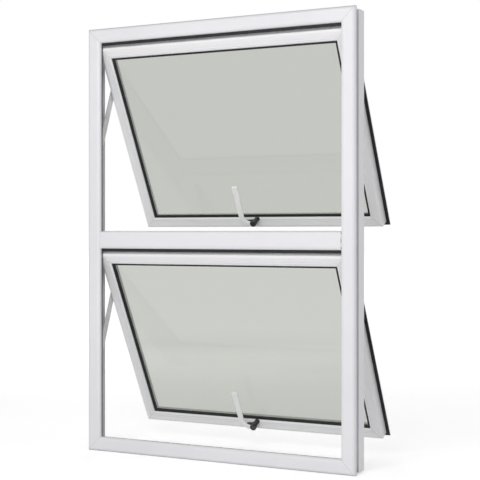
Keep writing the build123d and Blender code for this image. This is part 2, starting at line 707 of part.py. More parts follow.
def handle_z():
    """Height of the handle's axis in the axes of the shoe pivot."""
    return SHOE_BELOW_TOP - SASH_HEIGHT + HANDLE_FROM_EDGE


def drilled_for_screws(pieces):
    """Screw holes through the stiles' sides and the bottom rail's face."""
    hole = SCREW_SHANK + 2 * SCREW_FIT
    for letter, side in (("l", -1), ("r", 1)):
        for height in bar_screw_heights():
            inner = side * (BOX_SIDE - SASH_WALL - 1.0)
            pieces[letter] = pieces[letter] - peg(inner, side * (BOX_SIDE + 1.0), 0, height, hole)
    for x in handle_screw_places():
        z = handle_z() - HANDLE_FROM_EDGE + HANDLE_SCREW_FROM_EDGE
        face = -PIVOT_DEPTH
        drill = peg_along_y(x, face - SASH_WALL, face + 2 * SASH_WALL, z, HANDLE_SCREW_SHANK + 2 * SCREW_FIT)
        pieces["b"] = pieces["b"] - drill
    return pieces


def towards_room(shape):
    """Turn a shape drawn with its height along +Z so that the height points into the room."""
    return Rot(90, 0, 0) * shape


def handle_base():
    """Fixed foot of the handle and its spindle, with the sash face at Y 0."""
    foot = Pos(0, 0, HANDLE_BASE_END / 2) * Cylinder(HANDLE_BARREL / 2, HANDLE_BASE_END)
    spindle_end = COLLAR_END + LEVER_THICKNESS / 2 - HANDLE_GAP
    spindle = Pos(0, 0, spindle_end / 2) * Cylinder(HANDLE_SPINDLE / 2, spindle_end)
    body = foot + spindle
    for x in handle_screw_places():
        y = HANDLE_SCREW_FROM_EDGE - HANDLE_FROM_EDGE
        hole = RegularPolygon(HANDLE_SCREW_SHANK / 2 + SCREW_FIT, SCREW_SIDES)
        body = body - Pos(x, y, 0) * extrude(hole, amount=HANDLE_SCREW_BITE + 1.0)
    return towards_room(body)


def handle_tongue():
    """Turning collar with the locking tongue, which points to the left at rest."""
    foot = HANDLE_BASE_END + HANDLE_GAP
    height = COLLAR_END - foot
    collar = Pos(0, 0, foot + height / 2) * Cylinder(HANDLE_BARREL / 2, height)
    half = TONGUE_WIDTH / 2
    outline = Polygon(
        (0, -half), (0, half + TONGUE_RISE), (-TONGUE_LENGTH / 2, half + TONGUE_RISE / 2),
        (-TONGUE_LENGTH, half - TONGUE_RISE / 2), (-TONGUE_LENGTH, -half), align=None,
    )
    outline = fillet(outline.vertices().group_by(Axis.X)[0], TONGUE_RISE)
    tongue = Pos(0, 0, foot) * extrude(outline, amount=TONGUE_THICKNESS)
    bore = Pos(0, 0, foot + height / 2) * Cylinder(HANDLE_SPINDLE / 2 + HANDLE_GAP, height + 2)
    socket_half = LEVER_KEY / 2 + SCREW_FIT
    socket_foot = COLLAR_END - LEVER_KEY_DEPTH - SCREW_FIT
    socket = block(-socket_half, socket_half, -socket_half, socket_half, socket_foot, COLLAR_END + 1)
    return towards_room(collar + tongue - bore - socket)


def handle_lever():
    """Cranked lever: round hub on the collar, a bent neck and a flat upright blade."""
    half_neck = LEVER_NECK_WIDTH / 2
    half_blade = LEVER_TIP_WIDTH / 2 - LEVER_TAPER
    half_tip = LEVER_TIP_WIDTH / 2
    turn = LEVER_BEND - LEVER_CRANK
    edges = [
        Line((0, -half_neck), (turn, -half_neck)),
        TangentArc((turn, -half_neck), (-LEVER_CRANK - half_blade, LEVER_BEND), tangent=(-1.0, 0.0)),
        Line((-LEVER_CRANK - half_blade, LEVER_BEND), (-LEVER_CRANK - half_tip, LEVER_TIP)),
        Line((-LEVER_CRANK - half_tip, LEVER_TIP), (-LEVER_CRANK + half_tip, LEVER_TIP)),
        Line((-LEVER_CRANK + half_tip, LEVER_TIP), (-LEVER_CRANK + half_blade, LEVER_BEND)),
        TangentArc((-LEVER_CRANK + half_blade, LEVER_BEND), (turn, half_neck), tangent=(0.0, -1.0)),
        Line((turn, half_neck), (0, half_neck)),
        Line((0, half_neck), (0, -half_neck)),
    ]
    outline = make_face(Wire(edges).edges())
    outline = fillet(outline.vertices().group_by(Axis.Y)[-1], LEVER_TIP_ROUND)
    top = COLLAR_END + LEVER_THICKNESS
    arm = Pos(0, 0, COLLAR_END) * extrude(outline, amount=LEVER_THICKNESS)
    hub = Pos(0, 0, COLLAR_END + LEVER_THICKNESS / 2) * Cylinder(HANDLE_BARREL / 2, LEVER_THICKNESS)
    lever = arm + hub
    lever = chamfer(lever.faces().sort_by(Axis.Z)[-1].edges(), LEVER_EDGE)
    under = Polygon(
        (-LEVER_CRANK - LEVER_TIP_WIDTH, COLLAR_END - 1.0), (-HANDLE_BARREL / 2 - 1.0, COLLAR_END - 1.0),
        (-HANDLE_BARREL / 2 - 1.0, COLLAR_END), (-LEVER_CRANK + half_tip, COLLAR_END + LEVER_SET_BACK),
        (-LEVER_CRANK - LEVER_TIP_WIDTH, COLLAR_END + LEVER_SET_BACK), align=None,
    )
    lever = lever - extrude(Plane.XZ * under, amount=FAR, both=True)
    key_half = LEVER_KEY / 2
    key = block(-key_half, key_half, -key_half, key_half, COLLAR_END - LEVER_KEY_DEPTH, COLLAR_END)
    bore_foot = COLLAR_END - LEVER_KEY_DEPTH - 1.0
    bore_end = COLLAR_END + LEVER_THICKNESS / 2
    bore = Pos(0, 0, (bore_foot + bore_end) / 2) * Cylinder(HANDLE_SPINDLE / 2 + HANDLE_GAP, bore_end - bore_foot)
    return towards_room(lever + key - bore)


def build_frame():
    """Every piece that stays with the wall, by node name."""
    outline, holes = frame_section()
    sides = around(outline, WIDTH, HEIGHT, holes)
    light_height = (HEIGHT - 2 * TRIM_WIDTH - RAIL_FACE) / 2
    nodes = {
        "sill": sides["b"],
        "head": sides["t"],
        "left_jamb": drilled_jamb(sides["l"], -1),
        "right_jamb": drilled_jamb(sides["r"], 1),
        "middle_rail": middle_rail(),
        "lower_frame_gasket": frame_gasket(TRIM_WIDTH, light_height),
        "upper_frame_gasket": frame_gasket(RAIL_CENTRE + RAIL_HALF, light_height),
        "frame_corner_keys": four_keys(
            (BODY_INSET + TRIM_WALL + KEY_FIT, WEB_OFFSET - KEY_FIT),
            (CHAMBER_FRONT + TRIM_WALL + KEY_FIT, SEAL_STEP - TRIM_WALL - KEY_FIT),
            FRAME_KEY_ARM, WIDTH, HEIGHT,
        ),
        "frame_screws": frame_screws(),
    }
    for side, word in ((-1, "left"), (1, "right")):
        rail = track(side)
        nodes["upper_" + word + "_track"] = rail
        nodes["lower_" + word + "_track"] = Pos(0, 0, -LIGHT_PITCH) * rail
    return nodes


def build_sash():
    """Pieces of one sash in the axes of its shoe pivot, by node name without the light's word."""
    members = {letter: in_sash(piece) for letter, piece in sash_members().items()}
    members = drilled_for_screws(members)
    nodes = {
        "top_rail": members["t"],
        "bottom_rail": members["b"],
        "left_stile": members["l"],
        "right_stile": members["r"],
        "weather_seal": in_sash(weather_seal()),
        "corner_keys": in_sash(
            four_keys(
                (SASH_WALL + KEY_FIT, SASH_TUBE - SASH_WALL - KEY_FIT),
                (SASH_KEY_BACK, SASH_KEY_BACK + SASH_KEY_DEPTH),
                SASH_KEY_ARM, SASH_WIDTH, SASH_HEIGHT,
            )
        ),
        "left_bar": sash_bar(-1),
        "right_bar": sash_bar(1),
        "sash_screws": sash_screws(),
    }
    for name, piece in glazing().items():
        nodes[name] = in_sash(piece)
    handle = {"handle_base": handle_base(), "handle_tongue": handle_tongue(), "handle_lever": handle_lever()}
    for name, piece in handle.items():
        nodes[name] = Pos(0, -PIVOT_DEPTH, handle_z()) * piece
    return nodes


def build_window():
    """All nodes of the window in their rest places, with the sashes swung out."""
    nodes = build_frame()
    sash = build_sash()
    for word, drop in (("upper", 0.0), ("lower", LIGHT_PITCH)):
        place = Location((0, REST_SHOE[0], REST_SHOE[1] - drop), (OPEN_ANGLE_REST, 0, 0))
        for name, piece in sash.items():
            nodes[word + "_" + name] = place * piece
        for side, hand in ((-1, "left"), (1, "right")):
            foot = Location((0, ARM_FOOT_Y, ARM_FOOT_Z - drop), (-REST_LEAN, 0, 0))
            nodes[word + "_" + hand + "_arm"] = foot * stay_arm(side)
            nodes[word + "_" + hand + "_shoe"] = Pos(0, REST_SHOE[0], REST_SHOE[1] - drop) * shoe(side)
    origin = Pos(0, -SEAT_CENTRE, -BODY_INSET)
    return {name: origin * piece for name, piece in nodes.items()}


def main():
    """Write one STEP file per node."""
    os.makedirs("parts", exist_ok=True)
    for name, piece in build_window().items():
        export_step(piece, "parts/" + name + ".step")
    lean, knee, shoe_place = stay_state(OPEN_ANGLE_REST)
    print("arm lean", round(lean, 3), "knee", knee, "shoe", shoe_place)
    print("arm foot", ARM_FOOT_Y - SEAT_CENTRE, ARM_FOOT_Z - BODY_INSET, "pitch", LIGHT_PITCH)


main()
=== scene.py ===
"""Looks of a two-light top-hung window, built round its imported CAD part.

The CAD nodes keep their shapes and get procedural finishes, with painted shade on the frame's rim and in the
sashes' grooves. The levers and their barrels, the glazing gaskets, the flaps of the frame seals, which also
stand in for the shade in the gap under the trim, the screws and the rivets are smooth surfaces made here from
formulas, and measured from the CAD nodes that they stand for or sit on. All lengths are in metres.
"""

import functools
import json
import logging
import math
from collections.abc import Callable, Iterable
from dataclasses import dataclass
from enum import Enum

import bpy
import numpy as np
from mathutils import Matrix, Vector


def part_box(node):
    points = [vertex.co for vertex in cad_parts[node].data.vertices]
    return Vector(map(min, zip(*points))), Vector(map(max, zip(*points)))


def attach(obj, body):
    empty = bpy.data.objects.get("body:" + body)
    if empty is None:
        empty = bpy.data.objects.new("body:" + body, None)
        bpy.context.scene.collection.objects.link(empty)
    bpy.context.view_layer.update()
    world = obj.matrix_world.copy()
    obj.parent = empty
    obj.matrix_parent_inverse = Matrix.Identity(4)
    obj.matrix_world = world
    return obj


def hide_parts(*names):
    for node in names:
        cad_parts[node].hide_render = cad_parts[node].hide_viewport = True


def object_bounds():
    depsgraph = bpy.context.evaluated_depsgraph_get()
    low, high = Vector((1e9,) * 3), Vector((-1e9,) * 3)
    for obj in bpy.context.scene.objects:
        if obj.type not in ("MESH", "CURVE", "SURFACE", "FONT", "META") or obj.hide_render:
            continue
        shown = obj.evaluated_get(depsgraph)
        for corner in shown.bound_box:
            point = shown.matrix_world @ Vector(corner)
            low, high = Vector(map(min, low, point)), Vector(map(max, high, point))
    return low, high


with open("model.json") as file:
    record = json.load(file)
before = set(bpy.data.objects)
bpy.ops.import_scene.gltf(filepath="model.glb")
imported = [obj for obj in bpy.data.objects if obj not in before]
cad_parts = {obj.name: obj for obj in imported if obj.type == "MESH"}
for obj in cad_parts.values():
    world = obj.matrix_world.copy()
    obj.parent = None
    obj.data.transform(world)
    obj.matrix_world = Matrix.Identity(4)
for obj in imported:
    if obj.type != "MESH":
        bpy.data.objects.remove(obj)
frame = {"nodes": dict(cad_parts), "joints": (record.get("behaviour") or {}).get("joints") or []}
CAD_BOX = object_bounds()

MM = 0.001
FULL_TURN = 2.0 * math.pi
ORIGIN = (0.0, 0.0, 0.0)
CORNERS = np.array([[1, 1], [-1, 1], [-1, -1], [1, -1]])
log = logging.getLogger("window")

# A socket, a node's sockets, what an input takes, and a closed surface's vertices, quads and triangles.
Socket = bpy.types.NodeSocket
Sockets = bpy.types.bpy_prop_collection
Value = Socket | float | tuple
Shell = tuple[np.ndarray, np.ndarray, np.ndarray]


class Light(Enum):
    """One of the two opening lights; the value starts the names of its nodes and bodies."""

    UPPER = "upper"
    LOWER = "lower"


class Side(Enum):
    """Left or right as seen from the room; the value follows the light's in the names of its nodes."""

    LEFT = "left"
    RIGHT = "right"


class Run(Enum):
    """Direction in which a profile was pressed, as the stretch of its die lines along X, Y and Z."""

    ACROSS = (1.2, 700.0, 700.0)
    UPRIGHT = (700.0, 700.0, 1.2)


@dataclass(frozen=True)
class Finish:
    """What all finishes have.

    Args:
        colour: Linear red, green and blue.
        roughness: Mean roughness.
    """

    colour: tuple
    roughness: float


@dataclass(frozen=True)
class Paint(Finish):
    """A powder coat.

    Args:
        peel: Height of the orange-peel texture.
        dust: Share of dust on faces that look up.
    """

    peel: float
    dust: float


@dataclass(frozen=True)
class Metal(Finish):
    """A bare metal.

    Args:
        stretch: Scale of the brushing along X, Y and Z.
        depth: Height of the brushing.
        bare: Share of bare metal; the rest is a dull grey-white film.
    """

    stretch: tuple
    depth: float
    bare: float = 1.0


@dataclass(frozen=True)
class Soft(Finish):
    """Rubber or nylon.

    Args:
        bloom: Linear colour of the pale film on its skin.
        pores: Scale of the skin's pores.
        depth: Height of the pores.
    """

    bloom: tuple
    pores: float
    depth: float


@dataclass(frozen=True)
class Seam:
    """Where a mitred ring of profiles has its seams.

    Args:
        origin: Centre of the ring in the row frame.
        turn: The ring's rotation in radians.
        half_width: Half the ring's outer width.
        half_height: Half the ring's outer height.
        reach: Face width of the profiles.
        groove: Distance of the face's groove, drawn as a line of painted shade, from the outer edge, or a
            negative value for none.
        rim_tone: How grey the painted shade on the outer rim is, from 0 to 1.
        rim: Width of the rim.
        line: Half the width of the drawn lines.
    """

    origin: tuple
    turn: tuple
    half_width: float
    half_height: float
    reach: float
    groove: float = -1.0
    rim_tone: float = 0.0
    rim: float = 3.7 * MM
    line: float = 0.7 * MM

    def inputs(self) -> dict[str, object]:
        """Its values by the names of the mitred_ring group's inputs."""
        return {name.replace("_", " ").title(): value for name, value in vars(self).items()}


FRAME_PAINT = Paint((0.800, 0.795, 0.825), 0.36, peel=0.05 * MM, dust=0.10)
SASH_PAINT = Paint((0.850, 0.845, 0.860), 0.38, peel=0.05 * MM, dust=0.12)
BEAD_PAINT = Paint((0.820, 0.815, 0.835), 0.38, peel=0.05 * MM, dust=0.12)
LEVER_PAINT = Paint((0.870, 0.875, 0.870), 0.28, peel=0.03 * MM, dust=0.04)
HANDLE_BLACK = Paint((0.012, 0.012, 0.014), 0.30, peel=0.04 * MM, dust=0.03)
STAY_STEEL = Metal((0.80, 0.80, 0.81), 0.42, stretch=(900.0, 900.0, 12.0), depth=0.02 * MM, bare=0.45)
SCREW_STEEL = Metal((0.60, 0.60, 0.62), 0.30, stretch=(500.0, 500.0, 500.0), depth=0.01 * MM)
KEY_ALLOY = Metal((0.70, 0.70, 0.72), 0.45, stretch=(300.0, 300.0, 300.0), depth=0.02 * MM)
RUBBER = Soft((0.010, 0.010, 0.011), 0.62, bloom=(0.05, 0.05, 0.052), pores=1800.0, depth=0.04 * MM)
NYLON = Soft((0.09, 0.09, 0.10), 0.48, bloom=(0.16, 0.16, 0.17), pores=900.0, depth=0.02 * MM)
GLASS_TINT = (0.550, 0.563, 0.528)
DUST_GREY = (0.42, 0.40, 0.37)
# Painted shade laid on the frame's outer rim.
RIM_SHADE_GREY = (0.30, 0.30, 0.32)
# Grey of the seam hairlines and of the painted shade line in the sash's groove.
SEAM_AND_GROOVE_SHADE_GREY = (0.16, 0.16, 0.17)

# How dark a finish is where its tone drifts down, and how strong the drawn seam lines, the painted groove
# shade and the dust are.
PAINT_DRIFT = 0.955
METAL_DRIFT = 0.88
LINE_TONE = 0.5
GROOVE_SHADE_SHARE = 0.55
DUST_ROUGHNESS = 0.35
BLOOM_COVER = 0.35
DIE_LINE_HEIGHT = 0.02 * MM

# Clear float glass, with the roughness of its film and the height of its slow wave.
GLASS_INDEX = 1.28
GLASS_SPECULAR = 0.3
GLASS_FILM = 0.03
GLASS_WAVE = 0.02 * MM


@dataclass
class Graph:
    """Adds nodes to one shader tree and joins their sockets.

    Args:
        tree: The node tree of a material, a world or a group.
    """

    tree: bpy.types.NodeTree

    def add(self, kind: str, inputs: dict | None = None, **settings: object) -> bpy.types.Node:
        """Add a node.

        Args:
            kind: The node's type name.
            inputs: Values or source sockets by input name or number.
            **settings: Attributes to set on the node first.

        Returns:
            The node.
        """
        node = self.tree.nodes.new(kind)
        for name, value in settings.items():
            setattr(node, name, value)
        for key, value in (inputs or {}).items():
            self.feed(node.inputs[key], value)
        return node

    def feed(self, socket: Socket, value: Value) -> None:
        """Join a source socket to an input, or set the input's own value."""
        if isinstance(value, bpy.types.NodeSocket):
            self.tree.links.new(value, socket)
        else:
            socket.default_value = value

    def math(self, operation: str, *values: Value, clamp: bool = False) -> Socket:
        """Return the result socket of a Math node."""
        node = self.add("ShaderNodeMath", dict(enumerate(values)), operation=operation, use_clamp=clamp)
        return node.outputs[0]

    def vector(self, operation: str, *values: Value) -> Socket:
        """Return the first output socket of a Vector Math node."""
        node = self.add("ShaderNodeVectorMath", dict(enumerate(values)), operation=operation)
        return node.outputs["Value"] if operation in ("DOT_PRODUCT", "LENGTH") else node.outputs[0]

    def noise(self, position: Value, scale: Value, detail: float = 3.0, roughness: float = 0.55) -> Socket:
        """Return the 0 to 1 value of a noise texture."""
        inputs = {"Vector": position, "Scale": scale, "Detail": detail, "Roughness": roughness}
        return self.add("ShaderNodeTexNoise", inputs, noise_dimensions="3D").outputs[0]

    def fit(self, value: Value, low: Value, high: Value, to_low: Value = 0.0, to_high: Value = 1.0) -> Socket:
        """Return a value mapped smoothly from one range to another."""
        inputs = {"Value": value, "From Min": low, "From Max": high, "To Min": to_low, "To Max": to_high}
        node = self.add("ShaderNodeMapRange", inputs, interpolation_type="SMOOTHSTEP")
        return node.outputs["Result"]

    def blend(self, factor: Value, first: Value, second: Value) -> Socket:
        """Return the colour between two colours."""
        node = self.add("ShaderNodeMix", data_type="RGBA")
        colours = [socket for socket in node.inputs if socket.type == "RGBA"]
        self.feed(node.inputs[0], factor)
        self.feed(colours[0], first)
        self.feed(colours[1], second)
        return next(socket for socket in node.outputs if socket.type == "RGBA")

    def bump(self, height: Socket, distance: float, normal: Socket | None = None) -> Socket:
        """Return the normal of a height field."""
        inputs = {"Height": height, "Distance": distance, "Strength": 1.0}
        if normal is not None:
            inputs["Normal"] = normal
        return self.add("ShaderNodeBump", inputs).outputs[0]

    def weighted(self, first: Value, second: Value, share: float) -> Socket:
        """Return the sum of two values, of which the first has the given share."""
        return self.math("MULTIPLY_ADD", first, share, self.math("MULTIPLY", second, 1.0 - share))

    def around(self, value: Value, middle: float, spread: float) -> Socket:
        """Return a 0 to 1 value laid as a spread round a middle."""
        return self.math("MULTIPLY_ADD", value, spread, middle - spread / 2.0)

    def patches(
        self, position: Value, scale: float, low: float, high: float, detail: float = 3.0,
        roughness: float = 0.6,
    ) -> Socket:
        """Return a mask of noise, 0 where the noise is below low and 1 where it is above high."""
        return self.fit(self.noise(position, scale, detail, roughness), low, high)

    def group(self, tree: bpy.types.NodeTree, inputs: dict) -> Sockets:
        """Add a group node and return its outputs."""
        return self.add("ShaderNodeGroup", inputs, node_tree=tree).outputs

    def broken_edges(self, radius: float) -> Socket:
        """Return a normal that makes sharp edges look broken to a radius."""
        return self.add("ShaderNodeBevel", {"Radius": radius}, samples=4).outputs[0]

    def principled(self, inputs: dict) -> Socket:
        """Add a Principled shader and return its socket."""
        return self.add("ShaderNodeBsdfPrincipled", inputs).outputs[0]


def rgba(colour: Iterable[float], tone: float = 1.0) -> tuple:
    """Linear colour times a tone, with a full alpha."""
    return (*(channel * tone for channel in colour), 1.0)


def effect(name: str, inputs: dict, outputs: tuple) -> Callable:
    """Turn a function that fills a Graph into one that returns its node group, built when first asked for.

    Args:
        name: The group's name.
        inputs: Default of each input by name; a tuple makes a vector socket.
        outputs: Names of the value outputs.

    Returns:
        A decorator. Its function takes a Graph and the input sockets, and returns the output sockets.
    """

    def decorate(fill: Callable) -> Callable:
        """Put the node group in the place of the function that fills it."""

        @functools.wraps(fill)
        def group() -> bpy.types.NodeTree:
            """The node group, made and filled if there is none yet."""
            if name in bpy.data.node_groups:
                return bpy.data.node_groups[name]
            tree = bpy.data.node_groups.new(name, "ShaderNodeTree")
            for label, default in inputs.items():
                kind = "NodeSocketVector" if isinstance(default, tuple) else "NodeSocketFloat"
                socket = tree.interface.new_socket(name=label, in_out="INPUT", socket_type=kind)
                socket.default_value = default
            for label in outputs:
                tree.interface.new_socket(name=label, in_out="OUTPUT", socket_type="NodeSocketFloat")
            graph = Graph(tree)
            results = fill(graph, graph.add("NodeGroupInput").outputs)
            graph.add("NodeGroupOutput", dict(zip(outputs, results)))
            return tree

        return group

    return decorate


@effect("orange_peel", {"Position": ORIGIN, "Scale": 900.0}, ("Height", "Drift"))
def peel_group(graph: Graph, source: Sockets) -> tuple:
    """Orange peel of a sprayed coat: two noises of unlike size, added, with a slow drift of tone."""
    broad_scale = graph.math("MULTIPLY", source["Scale"], 0.22)
    fine = graph.noise(source["Position"], source["Scale"], detail=2.0, roughness=0.5)
    broad = graph.noise(source["Position"], broad_scale, detail=2.0, roughness=0.5)
    drift = graph.patches(source["Position"], scale=3.2, low=0.25, high=0.75)
    return graph.weighted(broad, fine, share=0.6), drift


@effect("die_lines", {"Position": ORIGIN, "Stretch": (1.0, 1.0, 1.0)}, ("Height",))
def die_line_group(graph: Graph, source: Sockets) -> tuple:
    """Die lines of a pressed profile: noise drawn out along the run, seen only here and there."""
    drawn = graph.vector("MULTIPLY", source["Position"], source["Stretch"])
    lines = graph.noise(drawn, 1.0, detail=3.0, roughness=0.65)
    seen = graph.patches(source["Position"], scale=7.0, low=0.35, high=0.7, detail=2.0, roughness=0.5)
    return (graph.math("MULTIPLY", lines, seen),)


@effect("settled_dust", {"Position": ORIGIN, "Normal": (0.0, 0.0, 1.0), "Amount": 0.1}, ("Mask",))
def dust_group(graph: Graph, source: Sockets) -> tuple:
    """Settled dust: a broken cover of noise on faces whose normal looks up."""
    up = graph.fit(graph.vector("DOT_PRODUCT", source["Normal"], (0.0, 0.0, 1.0)), low=0.15, high=0.95)
    speckle = graph.patches(source["Position"], scale=160.0, low=0.42, high=0.72, detail=5.0, roughness=0.7)
    film = graph.patches(source["Position"], scale=9.0, low=0.3, high=0.8)
    cover = graph.math("MULTIPLY", up, graph.weighted(speckle, film, share=0.6))
    return (graph.math("MULTIPLY", cover, source["Amount"], clamp=True),)


MITRE = Seam(ORIGIN, ORIGIN, half_width=0.4, half_height=0.6, reach=0.04)


@effect("mitred_ring", {"Position": ORIGIN} | MITRE.inputs(), ("Seam", "Groove", "Rim"))
def mitre_group(graph: Graph, source: Sockets) -> tuple:
    """Lines of a mitred ring, from the distances to its near side edge and to its near end edge.

    The seam is a hairline where the two distances are equal. The groove is a line of painted shade where the
    smaller distance has a set value, and the rim, painted shade too, is all that is nearer to the edge than
    another.
    """
    turned = graph.add(
        "ShaderNodeMapping",
        {"Vector": source["Position"], "Location": source["Origin"], "Rotation": source["Turn"]},
        vector_type="TEXTURE",
    ).outputs[0]
    parts = graph.add("ShaderNodeSeparateXYZ", {"Vector": turned}).outputs
    aside = graph.math("SUBTRACT", source["Half Width"], graph.math("ABSOLUTE", parts["X"]))
    along = graph.math("SUBTRACT", source["Half Height"], graph.math("ABSOLUTE", parts["Z"]))

    def line(distance: Socket, width: Socket, sharp: float) -> Socket:
        """Mask that is 1 up to a share of the width from the line and 0 from the width on."""
        return graph.fit(graph.math("ABSOLUTE", distance), width, graph.math("MULTIPLY", width, sharp))

    near = graph.math("LESS_THAN", graph.math("ABSOLUTE", aside), source["Reach"])
    seam = line(graph.math("SUBTRACT", aside, along), source["Line"], sharp=0.3)
    inwards = graph.math("MINIMUM", aside, along)
    groove = line(graph.math("SUBTRACT", inwards, source["Groove"]), source["Line"], sharp=0.5)
    rim = graph.fit(inwards, source["Rim"], graph.math("MULTIPLY", source["Rim"], 0.7))
    return graph.math("MULTIPLY", seam, near), groove, graph.math("MULTIPLY", rim, source["Rim Tone"])


@effect("brushing", {"Position": ORIGIN, "Stretch": (1.0, 1.0, 1.0)}, ("Height", "Tone"))
def brushing_group(graph: Graph, source: Sockets) -> tuple:
    """Brushed metal: noise drawn out along the brushing, with scattered deeper scratches."""
    drawn = graph.vector("MULTIPLY", source["Position"], source["Stretch"])
    hair = graph.noise(drawn, 1.0, detail=4.0, roughness=0.7)
    deep = graph.patches(drawn, scale=0.35, low=0.62, high=0.72, detail=2.0, roughness=0.5)
    tone = graph.patches(source["Position"], scale=40.0, low=0.3, high=0.7)
    return graph.math("MULTIPLY_ADD", deep, -0.5, hair), tone


@effect("moulded_skin", {"Position": ORIGIN, "Scale": 1500.0}, ("Height", "Bloom"))
def skin_group(graph: Graph, source: Sockets) -> tuple:
    """Moulded skin: fine pores, and a mask for the pale bloom that wanders over the surface."""
    pores = graph.noise(source["Position"], source["Scale"], detail=3.0, roughness=0.6)
    bloom = graph.patches(source["Position"], scale=26.0, low=0.45, high=0.8, detail=4.0, roughness=0.65)
    return pores, bloom


def paint_shader(
    graph: Graph, place: Sockets, paint: Paint, run: Run = Run.UPRIGHT, seam: Seam | None = None,
    soften: float = 0.5 * MM,
) -> Socket:
    """Powder coat with orange peel, die lines, dust and, on mitred rings, the seams and painted groove and
    rim shade.

    Args:
        graph: The material's Graph.
        place: Outputs of its Texture Coordinate node.
        paint: The finish.
        run: The direction of the die lines.
        seam: The ring's seams, or None.
        soften: Radius to which sharp edges look broken.

    Returns:
        The shader's socket.
    """
    here = {"Position": place["Object"]}
    peel = graph.group(peel_group(), here)
    lines = graph.group(die_line_group(), here | {"Stretch": run.value})
    dust = graph.group(dust_group(), here | {"Normal": place["Normal"], "Amount": paint.dust})
    colour = graph.blend(peel["Drift"], rgba(paint.colour, PAINT_DRIFT), rgba(paint.colour))
    colour = graph.blend(dust["Mask"], colour, rgba(DUST_GREY))
    if seam is not None:
        ring = graph.group(mitre_group(), here | seam.inputs())
        # Painted shade: the outer rim turns grey, most on the head and the sill.
        colour = graph.blend(ring["Rim"], colour, rgba(RIM_SHADE_GREY))
        # Seam hairlines, and a line of painted shade in the face's groove.
        seam_and_groove_shade = graph.math("MULTIPLY_ADD", ring["Groove"], GROOVE_SHADE_SHARE, ring["Seam"])
        seam_and_groove_shade = graph.math("MULTIPLY", seam_and_groove_shade, LINE_TONE, clamp=True)
        colour = graph.blend(seam_and_groove_shade, colour, rgba(SEAM_AND_GROOVE_SHADE_GREY))
    rough = graph.around(peel["Drift"], paint.roughness, spread=0.08)
    rough = graph.math("MULTIPLY_ADD", dust["Mask"], DUST_ROUGHNESS, rough)
    drawn = graph.bump(lines["Height"], DIE_LINE_HEIGHT, graph.broken_edges(soften))
    normal = graph.bump(peel["Height"], paint.peel, drawn)
    coat = {"IOR": 1.5, "Coat Weight": 0.15, "Coat Roughness": 0.25}
    return graph.principled({"Base Color": colour, "Roughness": rough, "Normal": normal} | coat)


def metal_shader(graph: Graph, place: Sockets, metal: Metal, soften: float = 0.3 * MM) -> Socket:
    """Bare metal, brushed and scratched, of uneven tone. It takes and returns what paint_shader does."""
    brushing = graph.group(brushing_group(), {"Position": place["Object"], "Stretch": metal.stretch})
    colour = graph.blend(brushing["Tone"], rgba(metal.colour, METAL_DRIFT), rgba(metal.colour))
    rough = graph.around(brushing["Height"], metal.roughness, spread=0.16)
    normal = graph.bump(brushing["Height"], metal.depth, graph.broken_edges(soften))
    looks = {"Base Color": colour, "Roughness": rough, "Metallic": metal.bare, "Normal": normal}
    return graph.principled(looks)


def soft_shader(graph: Graph, place: Sockets, soft: Soft) -> Socket:
    """Rubber or nylon with pores and a faint pale bloom. It takes and returns what paint_shader does."""
    skin = graph.group(skin_group(), {"Position": place["Object"], "Scale": soft.pores})
    cover = graph.math("MULTIPLY", skin["Bloom"], BLOOM_COVER)
    colour = graph.blend(cover, rgba(soft.colour), rgba(soft.bloom))
    rough = graph.around(skin["Height"], soft.roughness, spread=0.12)
    normal = graph.bump(skin["Height"], soft.depth)
    looks = {"Base Color": colour, "Roughness": rough, "Normal": normal, "Specular IOR Level": 0.35}
    return graph.principled(looks)


def glass_shader(graph: Graph, place: Sockets) -> Socket:
    """Pale grey-green glass with the faintest film, which shadow rays cross as tinted light.

    Args:
        graph: The material's Graph.
        place: Outputs of its Texture Coordinate node.

    Returns:
        The shader's socket.
    """
    film = graph.patches(place["Object"], scale=5.0, low=0.4, high=0.8, detail=4.0)
    rough = graph.math("MULTIPLY", film, GLASS_FILM)
    wave = graph.bump(graph.noise(place["Object"], 2.5, detail=1.0, roughness=0.4), GLASS_WAVE)
    glass = graph.principled({
        "Base Color": rgba(GLASS_TINT), "Roughness": rough, "Transmission Weight": 1.0, "IOR": GLASS_INDEX,
        "Specular IOR Level": GLASS_SPECULAR, "Normal": wave,
    })
    one_face = rgba(math.sqrt(channel) for channel in GLASS_TINT)
    clear = graph.add("ShaderNodeBsdfTransparent", {"Color": one_face}).outputs[0]
    shadow = graph.add("ShaderNodeLightPath").outputs["Is Shadow Ray"]
    return graph.add("ShaderNodeMixShader", {0: shadow, 1: glass, 2: clear}).outputs[0]


def make_material(name: str, shader: Callable, *details: object, **options: object) -> bpy.types.Material:
    """Make a material.

    Args:
        name: The material's name.
        shader: Function that takes a Graph, the outputs of a Texture Coordinate node and what follows here.
        *details: The finish and the rest that the shader takes, also by name.

    Returns:
        The material.
    """
    material = bpy.data.materials.new(name)
    material.use_nodes = True
    material.node_tree.nodes.clear()
    graph = Graph(material.node_tree)
    place = graph.add("ShaderNodeTexCoord").outputs
    graph.add("ShaderNodeOutputMaterial", {"Surface": shader(graph, place, *details, **options)})
    return material


